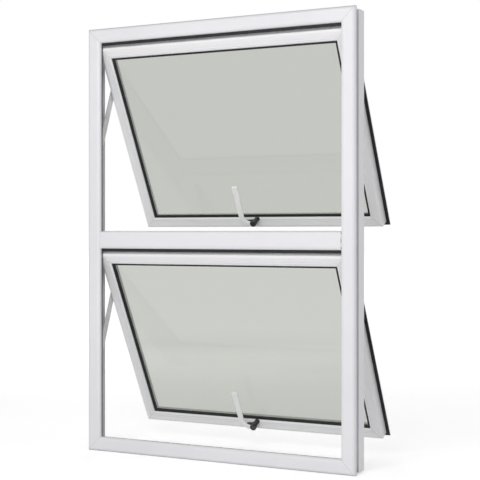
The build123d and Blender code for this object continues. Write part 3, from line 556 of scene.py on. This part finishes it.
@dataclass(frozen=True)
class SashAxes:
    """Axes of a sash as it stands open: X across, Y through the sash and out of the room, Z up the sash.

    Args:
        origin: The shoe pivots' line at X 0, in the row frame.
        opening: Opening angle in radians.
    """

    origin: np.ndarray
    opening: float

    @classmethod
    def of(cls, stem: str) -> "SashAxes":
        """Read the axes of the light whose names start with the stem from the frame's joints."""
        pivot = np.array(joint(f"{stem}_left_shoe_turn")["pos_m"], float) * (0.0, 1.0, 1.0)
        axis = joint(f"{stem}_handle_turn")["axis"]
        return cls(pivot, math.atan2(-axis[2], -axis[1]))

    @property
    def turn(self) -> np.ndarray:
        """Matrix from the sash's axes to the row frame's."""
        c, s = math.cos(self.opening), math.sin(self.opening)
        return np.array([[1.0, 0.0, 0.0], [0.0, c, -s], [0.0, s, c]])

    def to_row(self, points: np.ndarray) -> np.ndarray:
        """Points in the sash's axes, as points in the row frame."""
        return np.asarray(points) @ self.turn.T + self.origin

    def to_sash(self, points: np.ndarray) -> np.ndarray:
        """Points in the row frame, as points in the sash's axes."""
        return (np.asarray(points) - self.origin) @ self.turn


def joint(name: str) -> dict:
    """The record's joint of that name."""
    return next(entry for entry in frame["joints"] if entry["name"] == name)


def vertices(node: str) -> np.ndarray:
    """Vertices of a CAD node as an array."""
    mesh = frame["nodes"][node].data
    flat = np.zeros(len(mesh.vertices) * 3)
    mesh.vertices.foreach_get("co", flat)
    return flat.reshape(-1, 3)


def islands(node: str) -> list[np.ndarray]:
    """Split a CAD node into its separate solids.

    Each vertex starts with its own label, and the lowest label of a triangle spreads over it until nothing
    changes.

    Args:
        node: The node's name.

    Returns:
        The vertices of each solid.
    """
    mesh = frame["nodes"][node].data
    points = vertices(node)
    mesh.calc_loop_triangles()
    corners = np.zeros(len(mesh.loop_triangles) * 3, int)
    mesh.loop_triangles.foreach_get("vertices", corners)
    _, same = np.unique(np.round(points / (0.001 * MM)).astype(int), axis=0, return_inverse=True)
    triangles = same.ravel()[corners].reshape(-1, 3)
    label = np.arange(triangles.max() + 1)
    while True:
        spread = label.copy()
        np.minimum.at(spread, triangles.ravel(), np.repeat(label[triangles].min(axis=1), 3))
        if (spread == label).all():
            break
        label = spread
    owner = label[same.ravel()]
    return [points[owner == value] for value in np.unique(owner)]


def closed_grid(points: np.ndarray, ring: bool = False) -> Shell:
    """Faces of a grid whose columns close on themselves.

    Args:
        points: Array of rows, columns and coordinates.
        ring: Whether the rows close too; if they don't, the first and the last row get caps.

    Returns:
        The vertices, quads and cap triangles.
    """
    rows, columns = points.shape[:2]
    index = np.arange(rows * columns).reshape(rows, columns)
    if ring:
        index = np.vstack([index, index[:1]])
    after = np.roll(index, -1, axis=1)
    quads = np.stack([index[:-1], after[:-1], after[1:], index[1:]], axis=-1).reshape(-1, 4)
    if ring:
        return points.reshape(-1, 3), quads, np.zeros((0, 3), int)
    ends = np.array([points[0].mean(axis=0), points[-1].mean(axis=0)])
    first = np.stack([np.full(columns, rows * columns), after[0], index[0]], axis=-1)
    last = np.stack([np.full(columns, rows * columns + 1), index[-1], after[-1]], axis=-1)
    return np.vstack([points.reshape(-1, 3), ends]), quads, np.vstack([first, last])


def signed_volume(points: np.ndarray, quads: np.ndarray, triangles: np.ndarray) -> float:
    """Volume of a closed surface, negative if its faces point inwards."""
    fans = np.vstack([quads[:, [0, 1, 2]], quads[:, [0, 2, 3]], triangles])
    a, b, c = (points[fans[:, i]] for i in range(3))
    return np.einsum("ij,ij->i", a, np.cross(b, c)).sum() / 6.0


def round_angles(count: int) -> np.ndarray:
    """Angles of points spread evenly round a full turn."""
    return np.linspace(0.0, FULL_TURN, count, endpoint=False)


def squircle(count: int, power: float = 4.0) -> np.ndarray:
    """Unit outline between a circle and a square: cosine and sine raised to 2 over the power, signs kept."""
    unit = np.stack([np.cos(round_angles(count)), np.sin(round_angles(count))], axis=-1)
    return np.sign(unit) * np.abs(unit) ** (2.0 / power)


def arc(centre: tuple, radius: float, start: float, end: float, count: int) -> np.ndarray:
    """Points of an arc from one angle to another, in degrees."""
    angle = np.radians(np.linspace(start, end, count))
    return np.stack([centre[0] + radius * np.cos(angle), centre[1] + radius * np.sin(angle)], axis=-1)


@dataclass
class Piece:
    """A smooth surface of closed shells.

    Each kind makes its shells. Its names are those of the piece, its body, the record's material slot and the
    CAD node that it stands for, if any, with braces for the stem.

    Args:
        stem: How the names of its nodes and bodies start, such as upper.
    """

    stem: str
    names = ()
    smooth = math.radians(40.0)

    def build(self, material: bpy.types.Material) -> bpy.types.Object:
        """Make one object of the shells, with its faces outwards, that rides on its body.

        Args:
            material: Its material.

        Returns:
            The object.
        """
        all_points, all_faces, offset = [], [], 0
        for points, quads, triangles in self.shells():
            if signed_volume(points, quads, triangles) < 0:
                quads, triangles = quads[:, ::-1], triangles[:, ::-1]
            all_points.append(points)
            all_faces += (quads + offset).tolist() + (triangles + offset).tolist()
            offset += len(points)
        name, body, slot, node = (text.format(self.stem) for text in self.names)
        mesh = bpy.data.meshes.new(name)
        mesh.from_pydata(np.vstack(all_points).tolist(), [], all_faces)
        mesh.polygons.foreach_set("use_smooth", np.ones(len(mesh.polygons), bool))
        mesh.set_sharp_from_angle(angle=self.smooth)
        mesh.materials.append(material)
        piece = bpy.data.objects.new(name, mesh)
        bpy.context.scene.collection.objects.link(piece)
        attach(piece, body)
        if node:
            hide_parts(node)
        log.info("piece %s: %d faces", name, len(mesh.polygons))
        return piece


def measure_handle(stem: str) -> tuple[SashAxes, np.ndarray, np.ndarray]:
    """Return a sash's axes, its handle's axis in them, and the CAD lever's vertices from that axis."""
    axes = SashAxes.of(stem)
    axis = axes.to_sash(joint(f"{stem}_handle_turn")["pos_m"])
    return axes, axis, axes.to_sash(vertices(f"{stem}_handle_lever")) - axis


@dataclass
class Lever(Piece):
    """Cranked handle lever: a bent neck out of the barrel and a flat upright blade.

    The lever is drawn between two edge curves, each an arc that leaves the barrel level and ends upright,
    with a straight line above it. Every row across the two curves carries a squircle, and the tip closes by
    the fourth root of one minus the fourth power of the way into it.

    Args:
        neck: Width of the neck at the barrel.
        thick: Thickness of the neck.
        thinning: How much thinner the blade is than the neck.
        taper: How much narrower the blade is at its foot than at its tip.
        tip_margin: How much wider the tip is than the barrel's radius.
        tip_round: Length over which the tip rounds off.
        edge: Power of the squircle.
    """

    neck: float = 12.0 * MM
    thick: float = 6.0 * MM
    thinning: float = 1.6 * MM
    taper: float = 1.0 * MM
    tip_margin: float = 1.5 * MM
    tip_round: float = 3.0 * MM
    edge: float = 5.0
    rows: int = 26
    columns: int = 40
    names = ("{}_lever", "{}_handle", "handle_white", "{}_handle_lever")

    def edges(self, low: np.ndarray, high: np.ndarray, hub: float) -> tuple[np.ndarray, np.ndarray]:
        """Left and right edge curves in the lever's plane.

        Args:
            low: Lowest corner of the CAD lever, from the handle's axis, across and up.
            high: Highest corner of the CAD lever.
            hub: Radius of the barrel.

        Returns:
            Two arrays of points that match row by row.
        """
        half_tip, half = hub + self.tip_margin, self.neck / 2.0
        centre = low[0] + half_tip
        half_blade = half_tip - self.taper
        bend = -centre - half
        turn = bend + centre
        drop, rise = bend + half, bend - half
        outer_run, inner_run = turn - (centre - half_blade), turn - (centre + half_blade)
        outer_radius = (outer_run * outer_run + drop * drop) / (2.0 * drop)
        inner_radius = (inner_run * inner_run + rise * rise) / (2.0 * inner_run)
        outer_turn = math.degrees(math.asin(np.clip((outer_radius - drop) / outer_radius, -1.0, 1.0)))
        inner_turn = math.degrees(math.acos(np.clip((inner_radius - inner_run) / inner_radius, -1.0, 1.0)))
        outer = arc((turn, outer_radius - half), outer_radius, 270.0, 180.0 - outer_turn, self.rows)
        middle = (centre + half_blade + inner_radius, bend)
        inner = arc(middle, inner_radius, 180.0 + inner_turn, 180.0, self.rows)
        up = np.linspace(0.0, 1.0, self.rows)[1:, None]
        left_top, right_top = (np.array([centre + side * half_tip, high[1]]) for side in (-1.0, 1.0))
        left = np.vstack([[[0.0, -half]], outer, outer[-1] + (left_top - outer[-1]) * up])
        right = np.vstack([[[0.0, half]], inner, inner[-1] + (right_top - inner[-1]) * up])
        return left, right

    def shells(self) -> list[Shell]:
        """The lever's closed surface, fitted to the CAD lever."""
        axes, axis, local = measure_handle(self.stem)
        low, high = local.min(axis=0), local.max(axis=0)
        hub = high[0]
        left, right = self.edges(low[[0, 2]], high[[0, 2]], hub)
        middle, half = (left + right) / 2.0, (right - left) / 2.0
        inset = np.clip((high[2] - middle[:, 1]) / self.tip_round, 0.0, 1.0)
        least, narrowing, thinning_run = 0.002, 0.25, 3.0 * hub
        shrink = np.clip(1.0 - (1.0 - inset) ** 4, least, 1.0) ** 0.25
        ease = np.clip((-middle[:, 0] - hub) / thinning_run, 0.0, 1.0)
        depth = self.thick - self.thinning * ease
        section = squircle(self.columns, self.edge)
        reach = 1.0 - narrowing * (1.0 - shrink)
        across = middle[:, None, :] + half[:, None, :] * section[None, :, :1] * reach[:, None, None]
        through = low[1] + depth[:, None] * (0.5 - 0.5 * section[None, :, 1] * shrink[:, None])
        blade = np.stack([across[..., 0], through, across[..., 1]], axis=-1) + axis
        return [closed_grid(axes.to_row(blade))]


@dataclass
class Barrel(Piece):
    """Black barrel of a handle, over the lever's hub.

    A turned outline: a straight wall from the collar to the front, a quarter of an ellipse round the front
    edge, and a dish whose depth falls with the cosine of the way out from the axis.

    Args:
        spare: How much wider it is than the lever's hub.
        proud: How far its front stands before the lever's.
        rim: Radius of the front edge.
        chamfer: Chamfer of the back edge.
        dish: Depth of the dish.
        foot: Length of the wall behind the lever.
    """

    spare: float = 2.0 * MM
    proud: float = 0.8 * MM
    rim: float = 2.0 * MM
    chamfer: float = 0.8 * MM
    dish: float = 0.5 * MM
    foot: float = 3.0 * MM
    columns: int = 64
    names = ("{}_handle_barrel", "{}_handle", "handle_black", "")

    def shells(self) -> list[Shell]:
        """The barrel's closed surface, on the handle's axis."""
        axes, axis, local = measure_handle(self.stem)
        radius = local[:, 0].max() + self.spare
        front = local[:, 1].min() - self.proud
        back = local[:, 1].max() + self.foot
        flat = radius - self.rim
        way = np.linspace(0.06, 1.0, 10)  # from a small middle ring, which the cap closes
        dish = np.stack([way * flat, front + self.dish * (0.5 + 0.5 * np.cos(math.pi * way))], axis=-1)
        turn = np.linspace(0.0, math.pi / 2.0, 9)[1:]
        edge = np.stack([flat + self.rim * np.sin(turn), front + self.rim * (1.0 - np.cos(turn))], axis=-1)
        wall = np.array([[radius, back - self.chamfer], [radius - self.chamfer, back]])
        outline = np.vstack([dish, edge, wall])
        angle = round_angles(self.columns)
        away = np.repeat(outline[:, 1:], self.columns, axis=1)
        rings = outline[:, :1]
        grid = np.stack([rings * np.cos(angle), away, rings * np.sin(angle)], axis=-1) + axis
        return [closed_grid(axes.to_row(grid))]


@dataclass
class LipSeal(Piece):
    """Flap of the frame's seal: a thin black blade that shows past the trim's inner edge, partly the seal and
    partly a dark stand-in for the shade in the gap above the sash.

    The blade lies in the plane of the CAD seal's lip. It runs from a rectangle behind the trim to a smaller
    one, low at the head and narrow at the jambs, and its section is a flat squircle.

    Args:
        thick: Thickness of the blade.
        drop: How far it hangs below the CAD seal at the head, where it covers the gap that reads as shade.
        side: How far it shows past the CAD seal at the jambs.
        root: How far it reaches behind the trim.
        tuck: How far its bottom run stays behind the CAD seal's edge.
    """

    thick: float = 1.1 * MM
    drop: float = 6.5 * MM
    side: float = 1.7 * MM
    root: float = 3.0 * MM
    tuck: float = 1.5 * MM
    columns: int = 24
    # Black rubber that also stands in for the shade in the gap under the trim.
    names = ("{}_lip_seal", "frame", "gasket_rubber", "")

    def shells(self) -> list[Shell]:
        """The flap's closed ring, fitted to the CAD seal."""
        points = vertices(f"{self.stem}_frame_gasket")
        across, height = np.abs(points[:, 0]).min(), points[:, 2]
        middle = (height.min() + height.max()) / 2.0
        top, bottom = height[height > middle].min(), height[height < middle].max()
        section = squircle(self.columns)
        way = (section[:, 0] + 1.0) / 2.0
        through = points[:, 1].max() - self.thick / 2.0 + self.thick / 2.0 * section[:, 1]
        outer = np.array([across + self.root, top + self.root, bottom - self.root])
        inner = np.array([across - self.side, top - self.drop, bottom - self.tuck])
        at = outer[None, :] + (inner - outer)[None, :] * way[:, None]
        x = CORNERS[:, :1] * at[None, :, 0]
        z = np.where(CORNERS[:, 1:] > 0, at[None, :, 1], at[None, :, 2])
        return [closed_grid(np.stack([x, np.broadcast_to(through, x.shape), z], axis=-1), ring=True)]


@dataclass
class GlazingGasket(Piece):
    """Room-side glazing gasket: a rounded bulb with two fine ribs, run round the glass.

    The path is the CAD gasket's rectangle, its corners eased to small quarter rounds. The section is a
    squircle whose room side is lowered by a cosine of the way across, which leaves the ribs.

    Args:
        corner: Radius of the path's corners.
        rib: Depth of the grooves between the ribs.
        grooves: Number of grooves.
    """

    corner: float = 2.0 * MM
    rib: float = 0.25 * MM
    grooves: float = 3.0
    columns: int = 48
    corner_points: int = 5
    names = ("{}_glazing_gasket", "{}_sash", "gasket_rubber", "{}_inner_gasket")

    def shells(self) -> list[Shell]:
        """The gasket's closed ring, fitted to the CAD gasket."""
        axes = SashAxes.of(self.stem)
        local = axes.to_sash(vertices(f"{self.stem}_inner_gasket"))
        low, high = local.min(axis=0), local.max(axis=0)
        centre, half = ((low + high) / 2.0)[[0, 2]], ((high - low) / 2.0)[[0, 2]]
        section = squircle(self.columns)
        way = (section[:, 0] + 1.0) / 2.0
        wave = 0.5 - 0.5 * np.cos(self.grooves * FULL_TURN * way)
        groove = self.rib * np.where(section[:, 1] > 0.5, wave, 0.0)
        inwards = (high[0] - np.abs(local[:, 0]).min()) * way
        depth = low[1] + (high[1] - low[1]) * (1.0 - section[:, 1]) / 2.0 + groove
        starts = np.array([0.0, 90.0, 180.0, 270.0])
        angle = np.radians(starts[:, None] + np.linspace(0.0, 90.0, self.corner_points)[None, :]).ravel()
        quadrant = np.repeat(CORNERS, self.corner_points, axis=0)
        direction = np.stack([np.cos(angle), np.sin(angle)], axis=-1)
        room = np.maximum(self.corner - inwards, 0.0)[None, :, None]
        hard = quadrant[:, None, :] * (half[None, None, :] - inwards[None, :, None] - room)
        path = centre + hard + direction[:, None, :] * room
        grid = np.stack([path[..., 0], np.broadcast_to(depth, path.shape[:2]), path[..., 1]], axis=-1)
        return [closed_grid(axes.to_row(grid), ring=True)]


@dataclass
class ScrewSet(Piece):
    """All the screws of one body, as pan heads with a cross recess on plain shanks.

    The head is a dome: its height falls with the fourth power of the radius. The recess is a cross: two
    slots whose depth fades with the distance from the slot's axis and from the head's centre.
    """

    rings: int = 22
    columns: int = 64
    names = ("{}_screws_pan_heads", "{}", "screw_steel", "{}_screws")
    smooth = math.radians(32.0)

    def one(self, points: np.ndarray) -> Shell:
        """Make one screw, on the axis round which its CAD screw is round.

        Args:
            points: The CAD screw's vertices.

        Returns:
            The screw's closed surface.
        """
        centre = (points.max(axis=0) + points.min(axis=0)) / 2.0
        spread = points - centre
        vectors = np.linalg.eigh(spread.T @ spread)[1]
        radii = [np.linalg.norm(spread - np.outer(spread @ v, v), axis=1).round(5) for v in vectors.T]
        axis = vectors[:, int(np.argmin([np.ptp(radius) for radius in radii]))]
        along = spread @ axis
        away = np.linalg.norm(spread - np.outer(along, axis), axis=1)
        widest = away > away.max() * 0.98
        if along[widest].mean() < 0.0:
            axis, along = -axis, -along
        head_radius = away.max()
        shank_radius = away[along < along.min() + 0.2 * MM].max()
        top, tip, seat = along.max(), along.min(), along[widest].min()
        head = top - seat
        rim, slot_depth = 0.35 * head, 0.75 * head
        slot_half, slot_reach, slot_fade = 0.13, 0.52, 0.03  # in radii of the head
        helper = np.array([0.0, 0.0, 1.0]) if abs(axis[2]) < 0.9 else np.array([0.0, 1.0, 0.0])
        first = np.cross(axis, helper)
        first /= np.linalg.norm(first)
        second = np.cross(axis, first)
        angle = round_angles(self.columns)
        ring = np.linspace(0.04, 1.0, self.rings)  # from a small middle ring, which the cap closes
        dome = top - (head - rim) * ring ** 4
        x, y = np.abs(ring[:, None] * np.cos(angle)), np.abs(ring[:, None] * np.sin(angle))
        slot = np.exp(-((np.minimum(x, y) / slot_half) ** 4))
        fade = 1.0 / (1.0 + np.exp((np.maximum(x, y) - slot_reach) / slot_fade))
        height = dome[:, None] - slot_depth * slot * fade
        point = tip + 0.3 * MM
        wall = np.array([
            [head_radius, seat], [shank_radius, seat], [shank_radius, point], [shank_radius * 0.7, tip]
        ])
        even = np.ones(self.columns)
        radius = np.vstack([ring[:, None] * head_radius * even, wall[:, :1] * even])
        level = np.vstack([height, wall[:, 1:] * even])
        flat = radius[..., None] * (np.cos(angle)[:, None] * first + np.sin(angle)[:, None] * second)
        return closed_grid(centre + flat + level[..., None] * axis)

    def shells(self) -> list[Shell]:
        """The closed surfaces of all the screws."""
        return [self.one(points) for points in islands(f"{self.stem}_screws")]


@dataclass
class Rivets(Piece):
    """Domed rivet heads over both pins of a stay arm.

    Each head is a dome whose height falls with the square of the radius, on a short straight rim.

    Args:
        radius: Radius of a head.
        height: Height of a head.
        drop: Share of its height by which the dome falls.
        sink: How deep its foot sits in the CAD head.
    """

    radius: float = 4.7 * MM
    height: float = 1.2 * MM
    drop: float = 0.6
    sink: float = 1.0 * MM
    rings: int = 12
    columns: int = 40
    names = ("{}_rivets", "{}", "stay_steel", "")

    def dome(self, centre: tuple, away: float) -> Shell:
        """Make one head, on a plane across X.

        Args:
            centre: Middle of its foot.
            away: Sign of its way along X.

        Returns:
            The head's closed surface.
        """
        ring = np.linspace(0.05, 1.0, self.rings)
        angle = round_angles(self.columns)
        level = np.concatenate([self.height * (1.0 - self.drop * ring ** 2), [0.0]])
        radius = np.concatenate([ring, [1.0]])[:, None] * self.radius
        x = centre[0] + away * level[:, None] * np.ones(self.columns)
        grid = [x, centre[1] + radius * np.cos(angle), centre[2] + radius * np.sin(angle)]
        return closed_grid(np.stack(grid, axis=-1))

    def shells(self) -> list[Shell]:
        """The heads at the arm's foot, on the jamb, and at its knee, on the sash."""
        points = vertices(self.stem)
        levels = np.abs(points[:, 0])
        pins = f"{self.stem}_swing", f"{self.stem.split('_')[0]}_sash_swing"
        foot, knee = (np.array(joint(name)["pos_m"], float) for name in pins)
        near = 1.2 * self.radius
        near_foot, near_knee = (
            levels[np.linalg.norm(points[:, 1:] - pin[1:], axis=1) < near] for pin in (foot, knee)
        )
        sign = float(np.sign(points[:, 0].mean()))
        return [
            self.dome((sign * (near_foot.min() + self.sink), foot[1], foot[2]), -sign),
            self.dome((sign * (near_knee.max() - self.sink), knee[1], knee[2]), sign),
        ]


@dataclass
class Finishes:
    """Gives every CAD node its material.

    Args:
        groove: Distance of the line of painted shade on a sash's face from the sash's outer edge.
        rims: How grey the painted shade on the frame's outer rim is, on the head and the sill and on the
            jambs.
        face: How far behind the foremost vertex a vertex still lies on a sash's face.
    """

    groove: float = 18.6 * MM
    rims: tuple = (0.55, 0.22)
    face: float = 1.0 * MM

    def seam_of_frame(self, rim_tone: float) -> Seam:
        """Seams of the outer frame, from its box, with the tone of the painted shade on its rim."""
        low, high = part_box("left_jamb")
        centre = (0.0, 0.0, (low[2] + high[2]) / 2.0)
        half_width = (CAD_BOX[1][0] - CAD_BOX[0][0]) / 2.0
        return Seam(centre, ORIGIN, half_width, (high[2] - low[2]) / 2.0, high[0] - low[0], rim_tone=rim_tone)

    def face_points(self, axes: SashAxes, node: str) -> np.ndarray:
        """Vertices on the room face of a sash's profile, in the sash's axes."""
        points = axes.to_sash(vertices(node))
        return points[points[:, 1] < points[:, 1].min() + self.face]

    def seam_of_sash(self, stem: str) -> Seam:
        """Measure where a sash has its seams.

        Args:
            stem: How the names of the sash's nodes start.

        Returns:
            Its seams, in its own axes.
        """
        axes = SashAxes.of(stem)
        stile = self.face_points(axes, f"{stem}_left_stile")
        high, low = stile[:, 2].max(), self.face_points(axes, f"{stem}_bottom_rail")[:, 2].min()
        half_width = float(np.abs(stile[:, 0]).max())
        reach = half_width - float(np.abs(stile[:, 0]).min())
        centre = tuple(axes.to_row([0.0, 0.0, (high + low) / 2.0]))
        turn = (axes.opening, 0.0, 0.0)
        return Seam(centre, turn, half_width, float((high - low) / 2.0), reach, self.groove)

    def table(self) -> dict[str, bpy.types.Material]:
        """Material of each CAD node, by name."""
        across, upright = (
            make_material(f"frame_paint_{run.name.lower()}", paint_shader, FRAME_PAINT, run, seam)
            for run, seam in zip(Run, map(self.seam_of_frame, self.rims))
        )
        rubber = make_material("black_rubber", soft_shader, RUBBER)
        steel = make_material("brushed_stay_steel", metal_shader, STAY_STEEL)
        screws = make_material("screw_steel", metal_shader, SCREW_STEEL)
        keys = make_material("key_alloy", metal_shader, KEY_ALLOY)
        black = make_material("satin_black", paint_shader, HANDLE_BLACK, soften=0.4 * MM)
        white = make_material("lever_white", paint_shader, LEVER_PAINT)
        nylon = make_material("shoe_nylon", soft_shader, NYLON)
        glass = make_material("float_glass", glass_shader)
        middle = make_material("rail_paint", paint_shader, FRAME_PAINT, Run.ACROSS)
        finish = {
            "head": across, "sill": across, "left_jamb": upright, "right_jamb": upright,
            "middle_rail": middle, "frame_corner_keys": keys, "frame_screws": screws,
        }
        for light in Light:
            word = light.value
            seam = self.seam_of_sash(word)
            rail = make_material(f"{word}_sash_paint_across", paint_shader, SASH_PAINT, Run.ACROSS, seam)
            stile = make_material(f"{word}_sash_paint_upright", paint_shader, SASH_PAINT, Run.UPRIGHT, seam)
            bead = make_material(f"{word}_bead_paint", paint_shader, BEAD_PAINT, Run.ACROSS, seam)
            pieces = {
                "frame_gasket": rubber, "top_rail": rail, "bottom_rail": rail, "corner_keys": keys,
                "weather_seal": rubber, "glass": glass, "inner_gasket": rubber, "outer_gasket": rubber,
                "sash_screws": screws, "handle_base": black, "handle_tongue": black, "handle_lever": white,
                "top_bead": bead, "bottom_bead": bead,
            }
            paired = {"track": steel, "arm": steel, "bar": steel, "shoe": nylon, "stile": stile, "bead": bead}
            pieces |= {f"{side.value}_{kind}": paired[kind] for side in Side for kind in paired}
            finish |= {f"{word}_{kind}": pieces[kind] for kind in pieces}
        return finish

    def build(self) -> dict[str, bpy.types.Material]:
        """Assign the materials.

        Returns:
            The table of materials by node.
        """
        finish = self.table()
        for name, piece in frame["nodes"].items():
            piece.data.materials.clear()
            piece.data.materials.append(finish[name])
            log.info("finish %s: %s", name, finish[name].name)
        return finish


@dataclass(frozen=True)
class Lamp:
    """A square soft lamp that isn't seen itself, straight or through glass.

    Args:
        name: Its name.
        place: Where it hangs.
        target: Where it is aimed.
        size: Length of a side.
        power: Its power in watts.
    """

    name: str
    place: tuple
    target: tuple
    size: float
    power: float

    def build(self) -> None:
        """Hang the lamp."""
        data = bpy.data.lights.new(self.name, "AREA")
        data.shape = "SQUARE"
        data.size = self.size
        data.energy = self.power
        lamp = bpy.data.objects.new(self.name, data)
        lamp.location = self.place
        lamp.visible_camera = False
        lamp.visible_transmission = False
        aim = Vector(self.target) - Vector(self.place)
        lamp.rotation_euler = aim.to_track_quat("-Z", "Y").to_euler()
        bpy.context.scene.collection.objects.link(lamp)


LAMPS = (
    Lamp("key", place=(0.35, -2.3, 1.60), target=(0.0, 0.0, 0.9), size=1.3, power=22.0),
    Lamp("fill", place=(0.30, -2.4, 0.30), target=(0.0, 0.0, 0.9), size=1.2, power=10.5),
    Lamp("side", place=(2.3, 1.2, 1.4), target=(0.3, 0.0, 0.7), size=1.2, power=4.5),
    Lamp("back", place=(-1.3, 2.6, 1.7), target=(0.0, 0.2, 0.7), size=1.4, power=12.0),
)


@dataclass
class Studio:
    """Floor, white surround, lamps and camera.

    Args:
        camera_at: The camera's place.
        heading: Its turn to the left of straight ahead, in degrees.
        sensor: Width of its sensor in millimetres.
        lens: Its focal length in millimetres.
        shift: Vertical shift that puts the horizon where it is in the picture.
        sky: Strength of the surround's light at the horizon and overhead.
        glow: White added to the floor where it is seen, near and far, where the lamps fade.
        reach: Distances from the middle up to which it is near and from which it is far.
        half: Half the floor's side.
        grain: Lowest and highest grey of the floor.
    """

    camera_at: tuple = (1.5712, -2.9056, 0.6179)
    heading: float = 27.6
    sensor: float = 36.0
    lens: float = 90.45
    shift: float = -0.0163
    sky: tuple = (0.70, 0.40)
    glow: tuple = (0.44, 0.68)
    reach: tuple = (1.2, 4.5)
    half: float = 30.0
    grain: tuple = (0.83, 0.85)

    def camera(self) -> None:
        """Level camera at the picture's angle."""
        data = bpy.data.cameras.new("camera")
        data.lens = self.lens
        data.sensor_width = self.sensor
        data.shift_y = self.shift
        data.clip_end = 100.0
        camera = bpy.data.objects.new("camera", data)
        camera.location = self.camera_at
        camera.rotation_euler = (math.radians(90.0), 0.0, math.radians(self.heading))
        bpy.context.scene.collection.objects.link(camera)
        bpy.context.scene.camera = camera

    def seen(self, graph: Graph) -> Socket:
        """Mask that is 1 for what the camera sees straight, in a mirror or through glass."""
        path = graph.add("ShaderNodeLightPath").outputs
        straight = graph.math("MAXIMUM", path["Is Camera Ray"], path["Is Glossy Ray"])
        return graph.math("MAXIMUM", straight, path["Is Transmission Ray"])

    def world(self) -> None:
        """White where it is seen, and a softer even light for everything else."""
        world = bpy.data.worlds.new("surround")
        world.use_nodes = True
        world.node_tree.nodes.clear()
        graph = Graph(world.node_tree)
        direction = graph.add("ShaderNodeTexCoord").outputs["Generated"]
        height = graph.add("ShaderNodeSeparateXYZ", {"Vector": direction}).outputs["Z"]
        soft = graph.fit(height, 0.0, 0.9, *self.sky)
        inputs = {"Value": self.seen(graph), "To Min": soft, "To Max": 1.0}
        strength = graph.add("ShaderNodeMapRange", inputs).outputs["Result"]
        light = graph.add("ShaderNodeBackground", {"Color": (1.0, 1.0, 1.0, 1.0), "Strength": strength})
        graph.add("ShaderNodeOutputWorld", {"Surface": light.outputs[0]})
        bpy.context.scene.world = world

    def floor_shader(self, graph: Graph, place: Sockets) -> Socket:
        """Pale matt grain, with a glow where it is seen. It takes and returns what glass_shader does."""
        grain = graph.fit(graph.noise(place["Object"], 2.0), 0.3, 0.7, *self.grain)
        colour = graph.add("ShaderNodeCombineColor", {0: grain, 1: grain, 2: grain}).outputs[0]
        matt = graph.add("ShaderNodeBsdfDiffuse", {"Color": colour}).outputs[0]
        glow = graph.fit(graph.vector("LENGTH", place["Object"]), *self.reach, *self.glow)
        glow = graph.math("MULTIPLY", self.seen(graph), glow)
        white = graph.add("ShaderNodeEmission", {"Strength": glow}).outputs[0]
        return graph.add("ShaderNodeAddShader", {0: matt, 1: white}).outputs[0]

    def floor(self) -> None:
        """Pale floor that reads white where it is lit and keeps the shadow."""
        mesh = bpy.data.meshes.new("floor")
        corners = [(x * self.half, y * self.half, CAD_BOX[0][2]) for x, y in CORNERS[[2, 3, 0, 1]].tolist()]
        mesh.from_pydata(corners, [], [(0, 1, 2, 3)])
        mesh.materials.append(make_material("floor", self.floor_shader))
        floor = bpy.data.objects.new("floor", mesh)
        bpy.context.scene.collection.objects.link(floor)

    def build(self) -> None:
        """Make the whole studio."""
        self.camera()
        self.world()
        self.floor()
        for lamp in LAMPS:
            lamp.build()
        bpy.context.scene.view_settings.view_transform = "Standard"
        log.info("studio ready")


def main() -> None:
    """Finish the CAD nodes, add the smooth pieces and set up the studio."""
    logging.basicConfig(level=logging.INFO, format="%(message)s")
    finish = Finishes().build()
    for light in Light:
        stem = light.value
        Lever(stem).build(finish[f"{stem}_handle_lever"])
        Barrel(stem).build(finish[f"{stem}_handle_base"])
        # The lip flap is partly seal and partly a dark stand-in for the shade under the trim.
        LipSeal(stem).build(finish[f"{stem}_frame_gasket"])
        GlazingGasket(stem).build(finish[f"{stem}_inner_gasket"])
        ScrewSet(f"{stem}_sash").build(finish["frame_screws"])
        for side in Side:
            arm = f"{stem}_{side.value}_arm"
            Rivets(arm).build(finish[arm])
    ScrewSet("frame").build(finish["frame_screws"])
    Studio().build()


if __name__ == "__main__":
    main()
